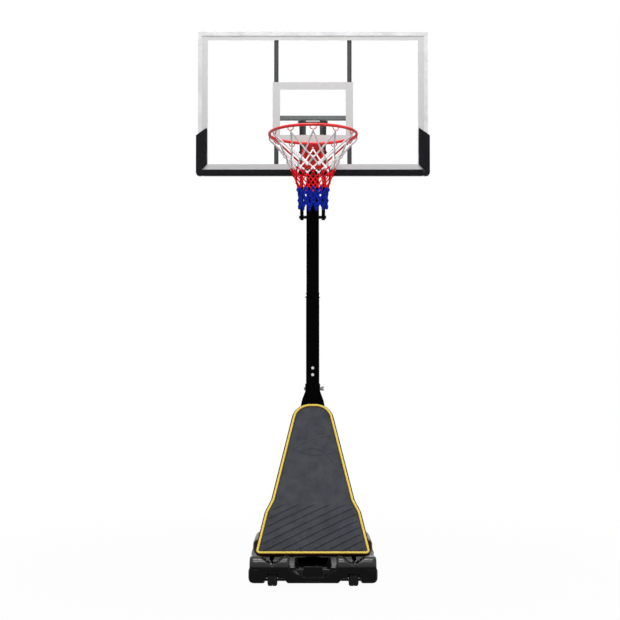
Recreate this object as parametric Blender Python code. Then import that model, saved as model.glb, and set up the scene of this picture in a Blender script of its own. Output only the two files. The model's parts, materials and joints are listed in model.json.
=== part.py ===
"""Portable basketball stand with a parallelogram lift, at real size in metres.

The stand faces -Y. The origin lies on the floor under the pole's axis.
Lengths named AHEAD are measured from the pole's axis towards the front.
"""

import math

import bmesh
import bpy
from mathutils import Matrix, Vector

# Clearances
FIT = 0.0003
RUN = 0.0004
WHEEL_SIDE_GAP = 0.004
WHEEL_TOP_GAP = 0.006
CUT_SPARE = 0.050

# Both sides of the stand
SIDES = (("left", -1), ("right", 1))

# Mesh detail
SMOOTH_BELOW_DEG = 38.0
SOFTEN_ABOVE_DEG = 50.0
EMPTY_SIZE = 0.050
PIN_SIDES = 12
HOLE_SIDES = 12
CORNER_STEPS = 4
FINE_STEPS = 3
ARCH_STEPS = 8

# Pole, two square tubes, the upper one sliding into the lower one
POLE_SIDE = 0.081
POLE_WALL = 0.0015
POLE_CORNER = 0.010
POLE_SEAT_Z = 0.050
POLE_JOINT_Z = 1.672
POLE_OVERLAP = 0.160
POLE_ABOVE_UPPER_PIVOT = 0.060
POLE_CAP_LID = 0.007
POLE_CAP_PLUG = 0.025
JOINT_BOLT_BELOW_TOP = 0.022

# Lift arms
RIM_HEIGHT = 2.450
BOARD_PIVOT_BELOW_RIM = 0.010
ARM_LENGTH = 0.488
ARM_REST_DEG = 25.5
ARM_PIVOT_SPACING = 0.180
ARM_REAR_REACH = 0.166
ARM_DEPTH = 0.038
ARM_THICKNESS = 0.022
ARM_INNER_X = 0.056
ARM_EDGE = 0.003
PIN_RADIUS = 0.006
SPACER_RADIUS = 0.010
BOLT_HEAD_RADIUS = 0.0095
BOLT_HEAD_HEIGHT = 0.007

# Backboard
BOARD_WIDTH = 1.305
BOARD_HEIGHT = 0.807
BOARD_BOTTOM_BELOW_RIM = 0.140
BOARD_FACE_AHEAD = 0.525
SHEET_THICKNESS = 0.005
RAIL_LIP = 0.022
RAIL_FRONT_WALL = 0.003
RAIL_DEPTH = 0.031
RAIL_SLOT = 0.012
MITRE_GAP = 0.00015
PRINT_THICKNESS = 0.0006
PRINT_SIDE = 0.033
PRINT_TOP = 0.025
PRINT_BOTTOM = 0.030
SQUARE_WIDTH = 0.457
SQUARE_HEIGHT = 0.343
SQUARE_LINE = 0.042
SQUARE_ABOVE_RIM = 0.037
POST_SIDE = 0.025
POST_X = 0.208
CROSSBAR_ABOVE_RIM = 0.179
TUBE_CORNER = 0.003
TUBE_WALL = 0.002
BRACKET_PLATE = 0.004
BRACKET_FLANGE = 0.016
BRACKET_LOBE = 0.022
BRACKET_FOOT = 0.018
BRACKET_TAPER = 0.009
BRACKET_SETBACK = 0.0015
BRACKET_RADII = (0.002, 0.010, 0.018, 0.018, 0.004)

# Backboard edge padding
PAD_WALL = 0.011
PAD_FACE_WALL = 0.008
PAD_SIDE_COVER = 0.053
PAD_SIDE_HEIGHT = 0.272
PAD_TOP_SLANT = 0.045
PAD_CORNER_RADII = (0.016, 0.006, 0.004, 0.004, 0.002, 0.001)
PAD_MITRE = 0.030
PAD_EDGE = 0.003

# Rim and net
RIM_INNER_RADIUS = 0.225
RIM_ROD = 0.008
RIM_SIDES = 8
RING_STEPS = 48
RIM_CENTRE_AHEAD = 0.900
RIM_PLATE_WIDTH = 0.125
RIM_PLATE_HEIGHT = 0.114
RIM_PLATE_THICKNESS = 0.004
RIM_PLATE_TOP_BELOW_RIM = 0.001
RIM_PLATE_CORNER = 0.008
RIM_BOLT_X = 0.0545
RIM_BOLT_Z = 0.026
RIM_BOLT_RADIUS = 0.0068
RIM_BOLT_HEIGHT = 0.005
RIM_CHANNEL_WIDTH = 0.090
RIM_CHANNEL_WALL = 0.004
RIM_CHANNEL_REAR_DEPTH = 0.054
RIM_CHANNEL_FRONT_DEPTH = 0.012
RIM_CHANNEL_ABOVE = 0.002
CHANNEL_SEAT = 0.4
CHANNEL_NOSE = 0.030
BRACE_RADIUS = 0.0055
BRACE_SIDES = 10
BRACE_END_X = 0.052
BRACE_END_ABOVE = 0.014
BRACE_LAST_RUN = 0.030
BRACE_WRAP_DEG = (14.0, 7.0, 0.0)
HOOK_COUNT = 12
HOOK_ROD = 0.0025
HOOK_SIDES = 5
HOOK_STEPS = 5
HOOK_SPAN = 0.034
HOOK_DROP = 0.016
HOOK_ROOT = 0.55
HOOK_ROUNDNESS = 0.7
NET_CORD = 0.0052
NET_TIP_GAP_RED = 0.0060
NET_TIP_GAP_BLUE = 0.0080
NET_TOP_RADIUS = 0.230
NET_WHITE_ROWS = ((0.112, 0.158), (0.150, 0.136), (0.184, 0.119))
NET_RED_ROWS = ((0.222, 0.104), (0.257, 0.091), (0.290, 0.081))
NET_BLUE_ROWS = ((0.322, 0.0765), (0.355, 0.075), (0.390, 0.0755))

# Height adjuster behind the pole
GUIDE_BOLTS_BELOW_PIVOT = (("upper", 0.051), ("lower", 0.092))
GUIDE_PIVOT_AHEAD = -0.085
GUIDE_PIVOT_Z = 1.262
GUIDE_PLATE = 0.004
GUIDE_PLATE_WIDTH = 0.026
SECTOR_RADIUS = 0.072
SECTOR_SLOT_RADIUS = 0.055
SECTOR_FLANGE_WIDTH = 0.068
SECTOR_FLANGE_TOP = 0.048
SECTOR_FLANGE_BOTTOM = 0.112
LIFT_DOWN_DEG = 45.0
LIFT_UP_DEG = 30.0
SLOT_SPARE_DEG = 6.0
EAR_SPARE_DEG = 10.0
SECTOR_STEPS = 12
WEB_FROM_CLAMP = 0.028
WEB_FROM_LINK = 0.048
LINK_WIDTH = 0.030
LINK_DEPTH = 0.025
LINK_TAIL = 0.185
LINK_EDGE = 0.002
GRIP_LENGTH = 0.120
GRIP_WALL = 0.004
GRIP_EDGE = 0.004
CLAMP_BOLT_RADIUS = 0.004
KNOB_RADIUS = 0.017
KNOB_HEIGHT = 0.013
KNOB_LOBES = 6
KNOB_STEPS = 4 * KNOB_LOBES
KNOB_WAVE = 0.10
KNOB_TAPER = 0.86
KNOB_EDGE = 0.002

# Front struts and the padded panel that lies on them
PANEL_SLOPE_DEG = 60.2
STRUT_RADIUS = 0.0125
STRUT_SIDES = 12
STRUT_BOLT_Z = 1.085
STRUT_FLAT = 0.0026
STRUT_FLAT_WIDTH = 0.018
STRUT_SQUARE = 0.55
STRUT_POLE_GAP = 0.001
STRUT_FLAT_UNTIL = 0.025
STRUT_ROUND_FROM = 0.085
STRUT_ANKLE = ((0.029, 0.0), (0.024, 0.6), (0.019, 1.0))
STRUT_TIP = ((0.30, 1.00), (0.75, 0.88), (1.00, 0.55))
STRUT_TOP_TAIL = 0.030
STRUT_FOOT_DISTANCE = 1.128
STRUT_FOOT_X = 0.232
STRUT_FOOT_TAIL = 0.021
WING_THICKNESS = 0.0045
WING_HALF = 0.0025
WING_ROOT = 0.004
WING_REACH = 0.020
PANEL_BOARD = 0.012
PANEL_PAD = 0.018
PANEL_CROWN = 0.010
CROWN_POWER_ACROSS = 4
CROWN_POWER_ALONG = 8
CUSHION_ROWS = 45
CUSHION_COLUMNS = 16
PANEL_EDGE = 0.014
BACKING_INSET = 0.002
PANEL_TOP = 0.140
PANEL_TOP_X = 0.0948
PANEL_TOP_CORNER = 0.088
PANEL_NECK = 0.757
PANEL_NECK_X = 0.2272
PANEL_SHOULDER = 0.831
PANEL_SHOULDER_X = 0.2621
PANEL_BOTTOM = 1.075
PANEL_BOTTOM_X = 0.3135
PANEL_BEND = 0.030
PANEL_CORNER = 0.014
TRIM_WIDTH = 0.017
TRIM_HEIGHT = 0.007
TRIM_SHOULDER = 0.55
RIB_FROM = 0.770
RIB_PITCH = 0.040
RIB_HEIGHT = 0.0035
RIB_FADE = 0.030
RIB_SLOPE_DEG = 27.0
CLIP_DISTANCES = (0.330, 0.800)
CLIP_LENGTH = 0.026
CLIP_WALL = 0.0035
CLIP_SIDES = 12

# Base tank
BASE_FRONT = 0.690
BASE_REAR = -0.450
BASE_FRONT_HALF = 0.356
BASE_WAIST_HALF = 0.338
BASE_REAR_HALF = 0.372
BASE_WAIST_AHEAD = 0.230
BASE_WAIST_RUN = 0.200
BASE_WING_LENGTH = 0.260
BASE_DECK_Z = 0.104
BASE_REAR_Z = 0.168
BASE_EDGE = 0.012
TANK_STEPS = 4
TANK_RADII = (0.028, 0.050, 0.100, 0.100, 0.130)
TANK_LEAST_RADIUS = 0.004
TANK_FOOT_ROUND = 0.010
DECK_NOSE_HALF = 0.200
DECK_NOSE_AHEAD = 0.120
DECK_INSET = 0.006
DECK_RADII = (0.050, 0.060, 0.124)
DECK_ROOT = 0.030
DECK_ROUND = 0.024
LIP_Z = 0.024
LIP_RUN = 0.140
LIP_SET_BACK = 0.024
WALL_SET_BACK = 0.006
CORNER_ROUND = 0.028
CORNER_FULL = 0.060
CORNER_REACH = 0.240
BEAD_RADIUS = 0.004
BEAD_SIDES = 6
BEAD_LINE = ((0.0555, 0.053), (0.147, 0.103), (0.285, 0.103), (0.309, 0.082), (0.338, 0.080))
THUMB_HALF = 0.045
THUMB_Z = 0.031
THUMB_HEIGHT = 0.010
THUMB_DEPTH = 0.008
WHEEL_X = 0.224
WHEEL_AHEAD = 0.635
WHEEL_RADIUS = 0.046
WHEEL_WIDTH = 0.054
WHEEL_HUB = 0.014
WHEEL_DISH = 0.008
WHEEL_TYRE = 0.014
WHEEL_LUGS = 8
WHEEL_LUG_DEPTH = 0.0022
WHEEL_BEVEL = 0.006
WHEEL_LIFT = 0.001
WELL_MOUTH_DEG = 29.0
BEARING_WIDTH = 0.014
BEARING_HALF = 0.013
AXLE_RADIUS = 0.006
AXLE_OVERHANG = 0.016
FENDER_RADIUS = 0.050
FENDER_INNER_X = 0.130
FENDER_OUTER_X = 0.350
FENDER_AHEAD = 0.636
FENDER_Z = 0.118
FENDER_END = 0.012
FENDER_END_SHARE = 0.84
FENDER_SIDES = 28
NOTCH_TOP_Z = 0.049
NOTCH_OUTER = 0.044
NOTCH_INNER = 0.063
NOTCH_SLANT = 0.021
NOTCH_REAR = 0.100
VEE_HALF = 0.069
VEE_APEX_Z = 0.1185
SMILE_FLAT = 0.0555
SMILE_WIDE = 0.147
SMILE_UPRIGHT = 0.130
LEDGE_Z = 0.091
LEDGE_HALF = 0.094
LEDGE_AHEAD = 0.640
LEDGE_WIDTH = 0.015
TROUGH_HALF = 0.128
TROUGH_Z = 0.060
TROUGH_REAR = 0.300
TROUGH_TAPER = 0.043
TROUGH_CORNER = 0.012
BLOCK_HALF = 0.0495
BLOCK_TOP_Z = 0.117
BLOCK_FALL = 0.009
PLINTH_HALF = 0.085
PLINTH_Z = 0.130
PLINTH_CORNER = 0.020
PLINTH_FLARE = 0.012
LUG_HALF = 0.013
LUG_RADIUS = 0.018
LUG_LEAN = 0.004
FOOT_POCKET_SIDE = 0.024
FOOT_POCKET_REACH = 0.032
FOOT_POCKET_FLOOR = 0.080
RIB_GROOVE_COUNT = 3
RIB_GROOVE_DEPTH = 0.012
GROOVE_FIRST_Y = 0.090
GROOVE_PITCH = 0.080
GROOVE_WIDTH = 0.030
GROOVE_INNER_X = 0.130
GROOVE_OUTER_X = 0.330
CHANNEL_HALF = 0.055
CHANNEL_FROM_Y = 0.095
CHANNEL_CORNER = 0.012
CHANNEL_FLARE = 0.015
CAP_X = 0.215
CAP_AHEAD = -0.330
CAP_RADIUS = 0.032
CAP_HEIGHT = 0.016
CAP_BOSS = 0.008
CAP_RIM = 0.008
CAP_NECK = 0.023
CAP_WELL = 0.016
CAP_EDGE = 0.0025
CAP_BOSS_SIDES = 24
CAP_RIB_DEPTH = 0.0016
CAP_BAR_HALF = 0.005
CAP_BAR_HEIGHT = 0.008
CAP_RIBS = 12
CAP_STEPS = 4 * CAP_RIBS


def clear_scene():
    for obj in list(bpy.data.objects):
        bpy.data.objects.remove(obj, do_unlink=True)


def material(name, colour, roughness, metallic=0.0, alpha=1.0, transmission=0.0):
    made = bpy.data.materials.new(name)
    made.use_nodes = True
    shader = made.node_tree.nodes["Principled BSDF"]
    shader.inputs["Base Color"].default_value = (*colour, 1.0)
    shader.inputs["Roughness"].default_value = roughness
    shader.inputs["Metallic"].default_value = metallic
    shader.inputs["Alpha"].default_value = alpha
    shader.inputs["Transmission Weight"].default_value = transmission
    made.diffuse_color = (*colour, alpha)
    return made


def make_materials():
    return {
        "base": material("black_base_plastic", (0.018, 0.018, 0.020), 0.42),
        "cap": material("cap_plastic", (0.030, 0.030, 0.032), 0.50),
        "steel": material("black_painted_steel", (0.012, 0.012, 0.013), 0.38),
        "zinc": material("zinc_plated_steel", (0.62, 0.63, 0.64), 0.32, 1.0),
        "dark_bolt": material("black_oxide_steel", (0.030, 0.030, 0.032), 0.40, 0.8),
        "frame": material("grey_frame_paint", (0.62, 0.62, 0.63), 0.45),
        "post": material("dark_grey_steel", (0.055, 0.057, 0.062), 0.45),
        "crossbar": material("grey_steel", (0.15, 0.17, 0.175), 0.45),
        "print": material("grey_board_print", (0.53, 0.53, 0.53), 0.60),
        "clear": material("clear_acrylic", (0.97, 0.98, 0.98), 0.04, 0.0, 0.25, 1.0),
        "pad": material("black_foam_pad", (0.016, 0.016, 0.018), 0.65),
        "rim": material("red_painted_steel", (0.62, 0.035, 0.028), 0.32),
        "white": material("white_net_cord", (0.86, 0.85, 0.86), 0.85),
        "red": material("red_net_cord", (0.76, 0.010, 0.025), 0.85),
        "blue": material("blue_net_cord", (0.012, 0.035, 0.42), 0.85),
        "cushion": material("slate_pad_cover", (0.062, 0.067, 0.078), 0.58),
        "trim": material("yellow_piping", (0.93, 0.62, 0.045), 0.50),
        "backing": material("black_panel_board", (0.020, 0.020, 0.022), 0.55),
        "tyre": material("black_wheel", (0.022, 0.022, 0.023), 0.62),
        "grip": material("grip_rubber", (0.028, 0.028, 0.030), 0.75),
    }


def empty(name, location=(0.0, 0.0, 0.0), rotation=(0.0, 0.0, 0.0)):
    made = bpy.data.objects.new(name, None)
    made.location = location
    made.rotation_euler = rotation
    made.empty_display_size = EMPTY_SIZE
    bpy.context.scene.collection.objects.link(made)
    return made


def finish(name, shape, colour=None, parent=None, location=(0.0, 0.0, 0.0), smooth=True):
    """Turns the bmesh into an object, outward and shaded smooth between sharp edges."""
    bmesh.ops.recalc_face_normals(shape, faces=shape.faces)
    mesh = bpy.data.meshes.new(name)
    shape.to_mesh(mesh)
    shape.free()
    if colour:
        mesh.materials.append(colour)
    if smooth:
        mesh.shade_smooth()
        mesh.set_sharp_from_angle(angle=math.radians(SMOOTH_BELOW_DEG))
    made = bpy.data.objects.new(name, mesh)
    made.location = location
    made.parent = parent
    bpy.context.scene.collection.objects.link(made)
    return made


def helper(target, shape, name, operation):
    """Adds a hidden cutter or a hidden piece to be joined, and its Boolean."""
    tool = finish(f"{target.name}_{name}", shape, None, target.parent, target.location, False)
    tool.hide_render = True
    tool.display_type = "WIRE"
    modifier = target.modifiers.new(name, "BOOLEAN")
    modifier.operation = operation
    modifier.solver = "EXACT"
    modifier.object = tool
    return tool


def carve(target, shape, name):
    return helper(target, shape, name, "DIFFERENCE")


def fuse(target, shape, name):
    return helper(target, shape, name, "UNION")


def at(x, ahead, z):
    return Vector((x, -ahead, z))


def loft(rings, closed=False):
    """Skins rings of equal length; an open loft gets flat end faces."""
    shape = bmesh.new()
    made = [[shape.verts.new(point) for point in ring] for ring in rings]
    pairs = list(zip(made, made[1:]))
    if closed:
        pairs.append((made[-1], made[0]))
    count = len(made[0])
    for first, second in pairs:
        for i in range(count):
            j = (i + 1) % count
            shape.faces.new((first[i], first[j], second[j], second[i]))
    if not closed:
        shape.faces.new(made[0])
        shape.faces.new(made[-1])
    return shape


def prism(outline, plane, low, high):
    """Extrudes a flat outline; plane names the two axes that the outline is drawn on."""
    lift = {
        "XY": lambda u, v, w: (u, v, w),
        "XZ": lambda u, v, w: (u, w, v),
        "YZ": lambda u, v, w: (w, u, v),
    }[plane]
    return loft([[lift(u, v, w) for u, v in outline] for w in (low, high)])


def rectangle(half_u, low_v, high_v):
    return [(-half_u, low_v), (half_u, low_v), (half_u, high_v), (-half_u, high_v)]


def block(x, y, z):
    return prism([(x[0], y[0]), (x[1], y[0]), (x[1], y[1]), (x[0], y[1])], "XY", *z)


def rounded(corners, radii, steps=CORNER_STEPS):
    """Rounds each corner of a polygon with its own radius."""
    outline = []
    for i, corner in enumerate(corners):
        here = Vector(corner)
        back = (Vector(corners[i - 1]) - here).normalized()
        onward = (Vector(corners[(i + 1) % len(corners)]) - here).normalized()
        radius = radii[i] if isinstance(radii, (list, tuple)) else radii
        half = back.angle(onward) / 2
        centre = here + (back + onward).normalized() * radius / math.sin(half)
        start = here + back * radius / math.tan(half) - centre
        end = here + onward * radius / math.tan(half) - centre
        turn = start.angle_signed(end)
        for k in range(steps + 1):
            arm = Matrix.Rotation(-turn * k / steps, 2) @ start
            outline.append(tuple(centre + arm))
    return outline


def rounded_square(side, corner, steps=2):
    half = side / 2
    corners = [(half, half), (-half, half), (-half, -half), (half, -half)]
    return rounded(corners, corner, steps)


def inset_corners(corners, distance):
    """Moves every edge of a counter-clockwise polygon inwards."""
    moved = []
    for i, corner in enumerate(corners):
        here = Vector(corner)
        first = (here - Vector(corners[i - 1])).normalized()
        second = (Vector(corners[(i + 1) % len(corners)]) - here).normalized()
        normal_a = Vector((-first.y, first.x))
        normal_b = Vector((-second.y, second.x))
        middle = normal_a + normal_b
        moved.append(tuple(here + middle * (2 * distance / middle.length_squared)))
    return moved


def circle(radius, steps, centre=(0.0, 0.0)):
    angles = [2 * math.pi * i / steps for i in range(steps)]
    return [(centre[0] + radius * math.cos(a), centre[1] + radius * math.sin(a)) for a in angles]


def stadium(start, end, radius, steps=6):
    """The outline of a bar with round ends, between two points."""
    start, end = Vector(start), Vector(end)
    along = (end - start).normalized()
    outline = []
    for centre, first in ((end, -90.0), (start, 90.0)):
        for k in range(steps + 1):
            angle = math.radians(first + 180.0 * k / steps)
            arm = Matrix.Rotation(angle, 2) @ along
            outline.append(tuple(centre + arm * radius))
    return outline


def pin_shape(sections, sides=PIN_SIDES):
    """A turned or hexagonal pin along X. Each section is (x, radius, is hexagonal)."""
    rings = []
    for x, radius, hexagonal in sections:
        ring = []
        for i in range(sides):
            angle = 2 * math.pi * i / sides
            flat = math.cos(math.radians(30.0)) if hexagonal and i % 2 else 1.0
            ring.append((x, radius * flat * math.cos(angle), radius * flat * math.sin(angle)))
        rings.append(ring)
    return loft(rings)


def rod(points, radius, sides, closed=False):
    """A round rod through the points, with a steady twist-free section."""
    points = [Vector(p) for p in points]
    last = len(points) - 1
    rings = []
    side = None
    for i, point in enumerate(points):
        before = points[i - 1] if i or closed else point
        after = points[(i + 1) % len(points)] if i < last or closed else point
        along = (after - before).normalized()
        if side is None:
            side = along.orthogonal().normalized()
        side = (side - along * side.dot(along)).normalized()
        other = along.cross(side)
        ring = []
        for k in range(sides):
            angle = 2 * math.pi * k / sides
            ring.append(point + (side * math.cos(angle) + other * math.sin(angle)) * radius)
        rings.append(ring)
    return loft(rings, closed)


def tilted(rest_deg):
    """A rotation that lifts a piece modelled along -Y by the rest angle."""
    return (-math.radians(rest_deg), 0.0, 0.0)


ARM_REST = math.radians(ARM_REST_DEG)
BOARD_PIVOT_Z = RIM_HEIGHT - BOARD_PIVOT_BELOW_RIM
BOARD_PIVOT_AHEAD = ARM_LENGTH * math.cos(ARM_REST)
LOWER_PIVOT_Z = BOARD_PIVOT_Z - ARM_LENGTH * math.sin(ARM_REST)
UPPER_PIVOT_Z = LOWER_PIVOT_Z + ARM_PIVOT_SPACING
REAR_PIN_AHEAD = -ARM_REAR_REACH * math.cos(ARM_REST)
REAR_PIN_Z = LOWER_PIVOT_Z - ARM_REAR_REACH * math.sin(ARM_REST)
POLE_TOP_Z = UPPER_PIVOT_Z + POLE_ABOVE_UPPER_PIVOT
UPPER_POLE_SIDE = POLE_SIDE - 2 * POLE_WALL - 2 * FIT
BOARD_BOTTOM_Z = RIM_HEIGHT - BOARD_BOTTOM_BELOW_RIM
BOARD_TOP_Z = BOARD_BOTTOM_Z + BOARD_HEIGHT
INSIDE_RAILS_LOW = BOARD_BOTTOM_Z + RAIL_LIP + FIT
INSIDE_RAILS_HIGH = BOARD_TOP_Z - RAIL_LIP - FIT
ARM_OUTER_X = ARM_INNER_X + ARM_THICKNESS
SHEET_REAR_AHEAD = BOARD_FACE_AHEAD - SHEET_THICKNESS
RAIL_FRONT_AHEAD = BOARD_FACE_AHEAD + FIT + RAIL_FRONT_WALL
RAIL_REAR_AHEAD = RAIL_FRONT_AHEAD - RAIL_DEPTH
POST_FRONT_AHEAD = SHEET_REAR_AHEAD - FIT
POST_REAR_AHEAD = POST_FRONT_AHEAD - POST_SIDE
PLATE_REAR_AHEAD = BOARD_FACE_AHEAD + PRINT_THICKNESS + 2 * FIT
PLATE_FRONT_AHEAD = PLATE_REAR_AHEAD + RIM_PLATE_THICKNESS
RIM_PLATE_TOP_Z = RIM_HEIGHT - RIM_PLATE_TOP_BELOW_RIM
RIM_PLATE_LOW_Z = RIM_PLATE_TOP_Z - RIM_PLATE_HEIGHT
RING_RADIUS = RIM_INNER_RADIUS + RIM_ROD
PANEL_SLOPE = math.radians(PANEL_SLOPE_DEG)
BOARD_BACK = STRUT_RADIUS + FIT
BOARD_FRONT = BOARD_BACK + PANEL_BOARD
CUSHION_BACK = BOARD_FRONT + FIT
CUSHION_RIM = CUSHION_BACK + PANEL_PAD
FOOT_AHEAD = STRUT_FOOT_DISTANCE * math.cos(PANEL_SLOPE)
FOOT_Z = STRUT_BOLT_Z - STRUT_FOOT_DISTANCE * math.sin(PANEL_SLOPE)
WHEEL_Z = WHEEL_RADIUS + WHEEL_LIFT
GUIDE_BOLTS = tuple((label, GUIDE_PIVOT_Z - below) for label, below in GUIDE_BOLTS_BELOW_PIVOT)
PLATE_INNER_X = LINK_WIDTH / 2 + FIT
PLATE_OUTER_X = PLATE_INNER_X + GUIDE_PLATE
EAR_INNER_X = PLATE_OUTER_X + FIT
EAR_OUTER_X = EAR_INNER_X + GUIDE_PLATE
AXLE_HALF = WHEEL_WIDTH / 2 + WHEEL_SIDE_GAP + AXLE_OVERHANG
LUG_X = STRUT_FOOT_X - STRUT_FLAT - FIT - LUG_HALF
BASE_WIDEST = BASE_REAR_HALF + CUT_SPARE
BEAD_LOW_Z = BEAD_LINE[0][1]
BEAD_HIGH_Z = BEAD_LINE[1][1]
STRUT_LINE = (
    (STRUT_FLAT_UNTIL, POLE_SIDE / 2 + FIT + STRUT_FLAT),
    (STRUT_ROUND_FROM, POLE_SIDE / 2 + STRUT_RADIUS + STRUT_POLE_GAP),
    (STRUT_FOOT_DISTANCE - STRUT_ANKLE[0][0], STRUT_FOOT_X),
)
STRUT_NECK = (
    (STRUT_FLAT_UNTIL, 1.0, 1.0),
    ((STRUT_FLAT_UNTIL + STRUT_ROUND_FROM) / 2, 0.5, 1.0),
    (STRUT_ROUND_FROM, 0.0, 1.0),
)


def tube_shape(side, wall, corner, low, high):
    """An upright square tube, open at both ends."""
    outer = rounded_square(side, corner)
    inner = rounded_square(side - 2 * wall, max(corner - wall, wall / 2))
    rings = [[(u, v, low) for u, v in outer], [(u, v, high) for u, v in outer]]
    rings += [[(u, v, high) for u, v in inner], [(u, v, low) for u, v in inner]]
    return loft(rings, closed=True)


def hole_across(y, z, radius, half_length):
    """A round cutter along X, from one side of the stand to the other."""
    return prism(circle(radius, HOLE_SIDES, (y, z)), "YZ", -half_length, half_length)


def hole_along(z, radius, low, high):
    """A round cutter along Y, on the stand's middle plane."""
    return prism(circle(radius, HOLE_SIDES, (0.0, z)), "XZ", low, high)


def make_pole(paint):
    corner = POLE_CORNER - POLE_WALL
    lower_tube = tube_shape(POLE_SIDE, POLE_WALL, POLE_CORNER, POLE_SEAT_Z, POLE_JOINT_Z)
    lower = finish("pole_lower", lower_tube, paint["steel"])
    upper_tube = tube_shape(UPPER_POLE_SIDE, POLE_WALL, corner, POLE_JOINT_Z - POLE_OVERLAP, POLE_TOP_Z)
    upper = finish("pole_upper", upper_tube, paint["steel"])
    joint_z = POLE_JOINT_Z - JOINT_BOLT_BELOW_TOP
    for tube, label, z in (
        (lower, "joint", joint_z),
        (upper, "joint", joint_z),
        (lower, "strut", STRUT_BOLT_Z),
        (upper, "lower_pivot", LOWER_PIVOT_Z),
        (upper, "upper_pivot", UPPER_PIVOT_Z),
    ):
        carve(tube, hole_across(0.0, z, PIN_RADIUS + FIT, POLE_SIDE), f"{label}_hole")
    for label, z in GUIDE_BOLTS:
        carve(lower, hole_along(z, PIN_RADIUS + FIT, -POLE_SIDE, POLE_SIDE), f"{label}_guide_hole")
    lid = prism(rounded_square(UPPER_POLE_SIDE, corner), "XY", FIT, FIT + POLE_CAP_LID)
    cap = finish("pole_cap", lid, paint["cap"], None, (0.0, 0.0, POLE_TOP_Z))
    plug_side = UPPER_POLE_SIDE - 2 * POLE_WALL - 2 * FIT
    plug = prism(rounded_square(plug_side, corner - POLE_WALL), "XY", -POLE_CAP_PLUG, 2 * FIT)
    fuse(cap, plug, "plug")
    add_bolt("pole_joint_bolt", (0.0, 0.0, joint_z), POLE_SIDE / 2, paint["zinc"])


def add_bolt(name, centre, grip, colour, parent=None, shoulders=()):
    """A bolt along X with a hexagonal head and nut; shoulders are spacer sleeves on its shank."""
    head = BOLT_HEAD_RADIUS
    sections = [(-grip - FIT - BOLT_HEAD_HEIGHT, head, True), (-grip - FIT, head, True)]
    sections.append((-grip - FIT, PIN_RADIUS, False))
    for low, high in shoulders:
        sections += [(low, PIN_RADIUS, False), (low, SPACER_RADIUS, False)]
        sections += [(high, SPACER_RADIUS, False), (high, PIN_RADIUS, False)]
    sections.append((grip + FIT, PIN_RADIUS, False))
    sections += [(grip + FIT, head, True), (grip + FIT + BOLT_HEAD_HEIGHT, head, True)]
    return finish(name, pin_shape(sections), colour, parent, centre)


def add_arm(name, side, rear, colour, parent):
    """One lift arm along -Y from its pole pivot, with round ends and pin holes."""
    inner, outer = sorted((side * ARM_INNER_X, side * ARM_OUTER_X))
    outline = stadium((-ARM_LENGTH, 0.0), (rear, 0.0), ARM_DEPTH / 2)
    arm = finish(name, prism(outline, "YZ", inner, outer), colour, parent)
    soften(arm, ARM_EDGE)
    for label, y in (("board", -ARM_LENGTH), ("pole", 0.0), ("rear", rear)):
        if label == "rear" and not rear:
            continue
        carve(arm, hole_across(y, 0.0, PIN_RADIUS + RUN, 2 * ARM_OUTER_X), f"{label}_hole")
    return arm


def soften(target, width, segments=1):
    modifier = target.modifiers.new("soft_edges", "BEVEL")
    modifier.width = width
    modifier.segments = segments
    modifier.limit_method = "ANGLE"
    modifier.angle_limit = math.radians(SOFTEN_ABOVE_DEG)
    return modifier


def sleeves(inner_half):
    """The two spacer sleeves between a middle piece and the arms, as X ranges."""
    inner, outer = inner_half + FIT, ARM_INNER_X - FIT
    return (-outer, -inner), (inner, outer)


def make_arms(paint):
    lower = empty("lower_arms_pivot", at(0.0, 0.0, LOWER_PIVOT_Z), tilted(ARM_REST_DEG))
    upper = empty("upper_arms_pivot", at(0.0, 0.0, UPPER_PIVOT_Z), tilted(ARM_REST_DEG))
    for label, side in SIDES:
        add_arm(f"lower_arm_{label}", side, ARM_REAR_REACH, paint["steel"], lower)
        add_arm(f"upper_arm_{label}", side, 0.0, paint["steel"], upper)
    spacers = sleeves(UPPER_POLE_SIDE / 2)
    for label, z in (("lower", LOWER_PIVOT_Z), ("upper", UPPER_PIVOT_Z)):
        add_bolt(f"{label}_pole_pivot_bolt", at(0.0, 0.0, z), ARM_OUTER_X, paint["zinc"], None, spacers)
    rear = (0.0, ARM_REAR_REACH, 0.0)
    add_bolt("rear_cross_bolt", rear, ARM_OUTER_X, paint["dark_bolt"], lower, sleeves(LINK_WIDTH / 2))


def make_adjuster(paint):
    """The slotted sector, the short guide link with its clamp knob, and the rear link with its grip."""
    add_sector(paint)
    guide = empty("guide_link_pivot", at(0.0, GUIDE_PIVOT_AHEAD, GUIDE_PIVOT_Z), tilted(ARM_REST_DEG))
    add_guide_link(paint, guide)
    add_knob(paint, guide)
    add_rear_link(paint)
    add_bolt("guide_pivot_bolt", at(0.0, GUIDE_PIVOT_AHEAD, GUIDE_PIVOT_Z), EAR_OUTER_X, paint["zinc"])


def arc(centre, radius, low_deg, high_deg, steps):
    angles = [math.radians(low_deg + (high_deg - low_deg) * k / steps) for k in range(steps + 1)]
    return [(centre[0] + radius * math.cos(a), centre[1] + radius * math.sin(a)) for a in angles]


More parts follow.
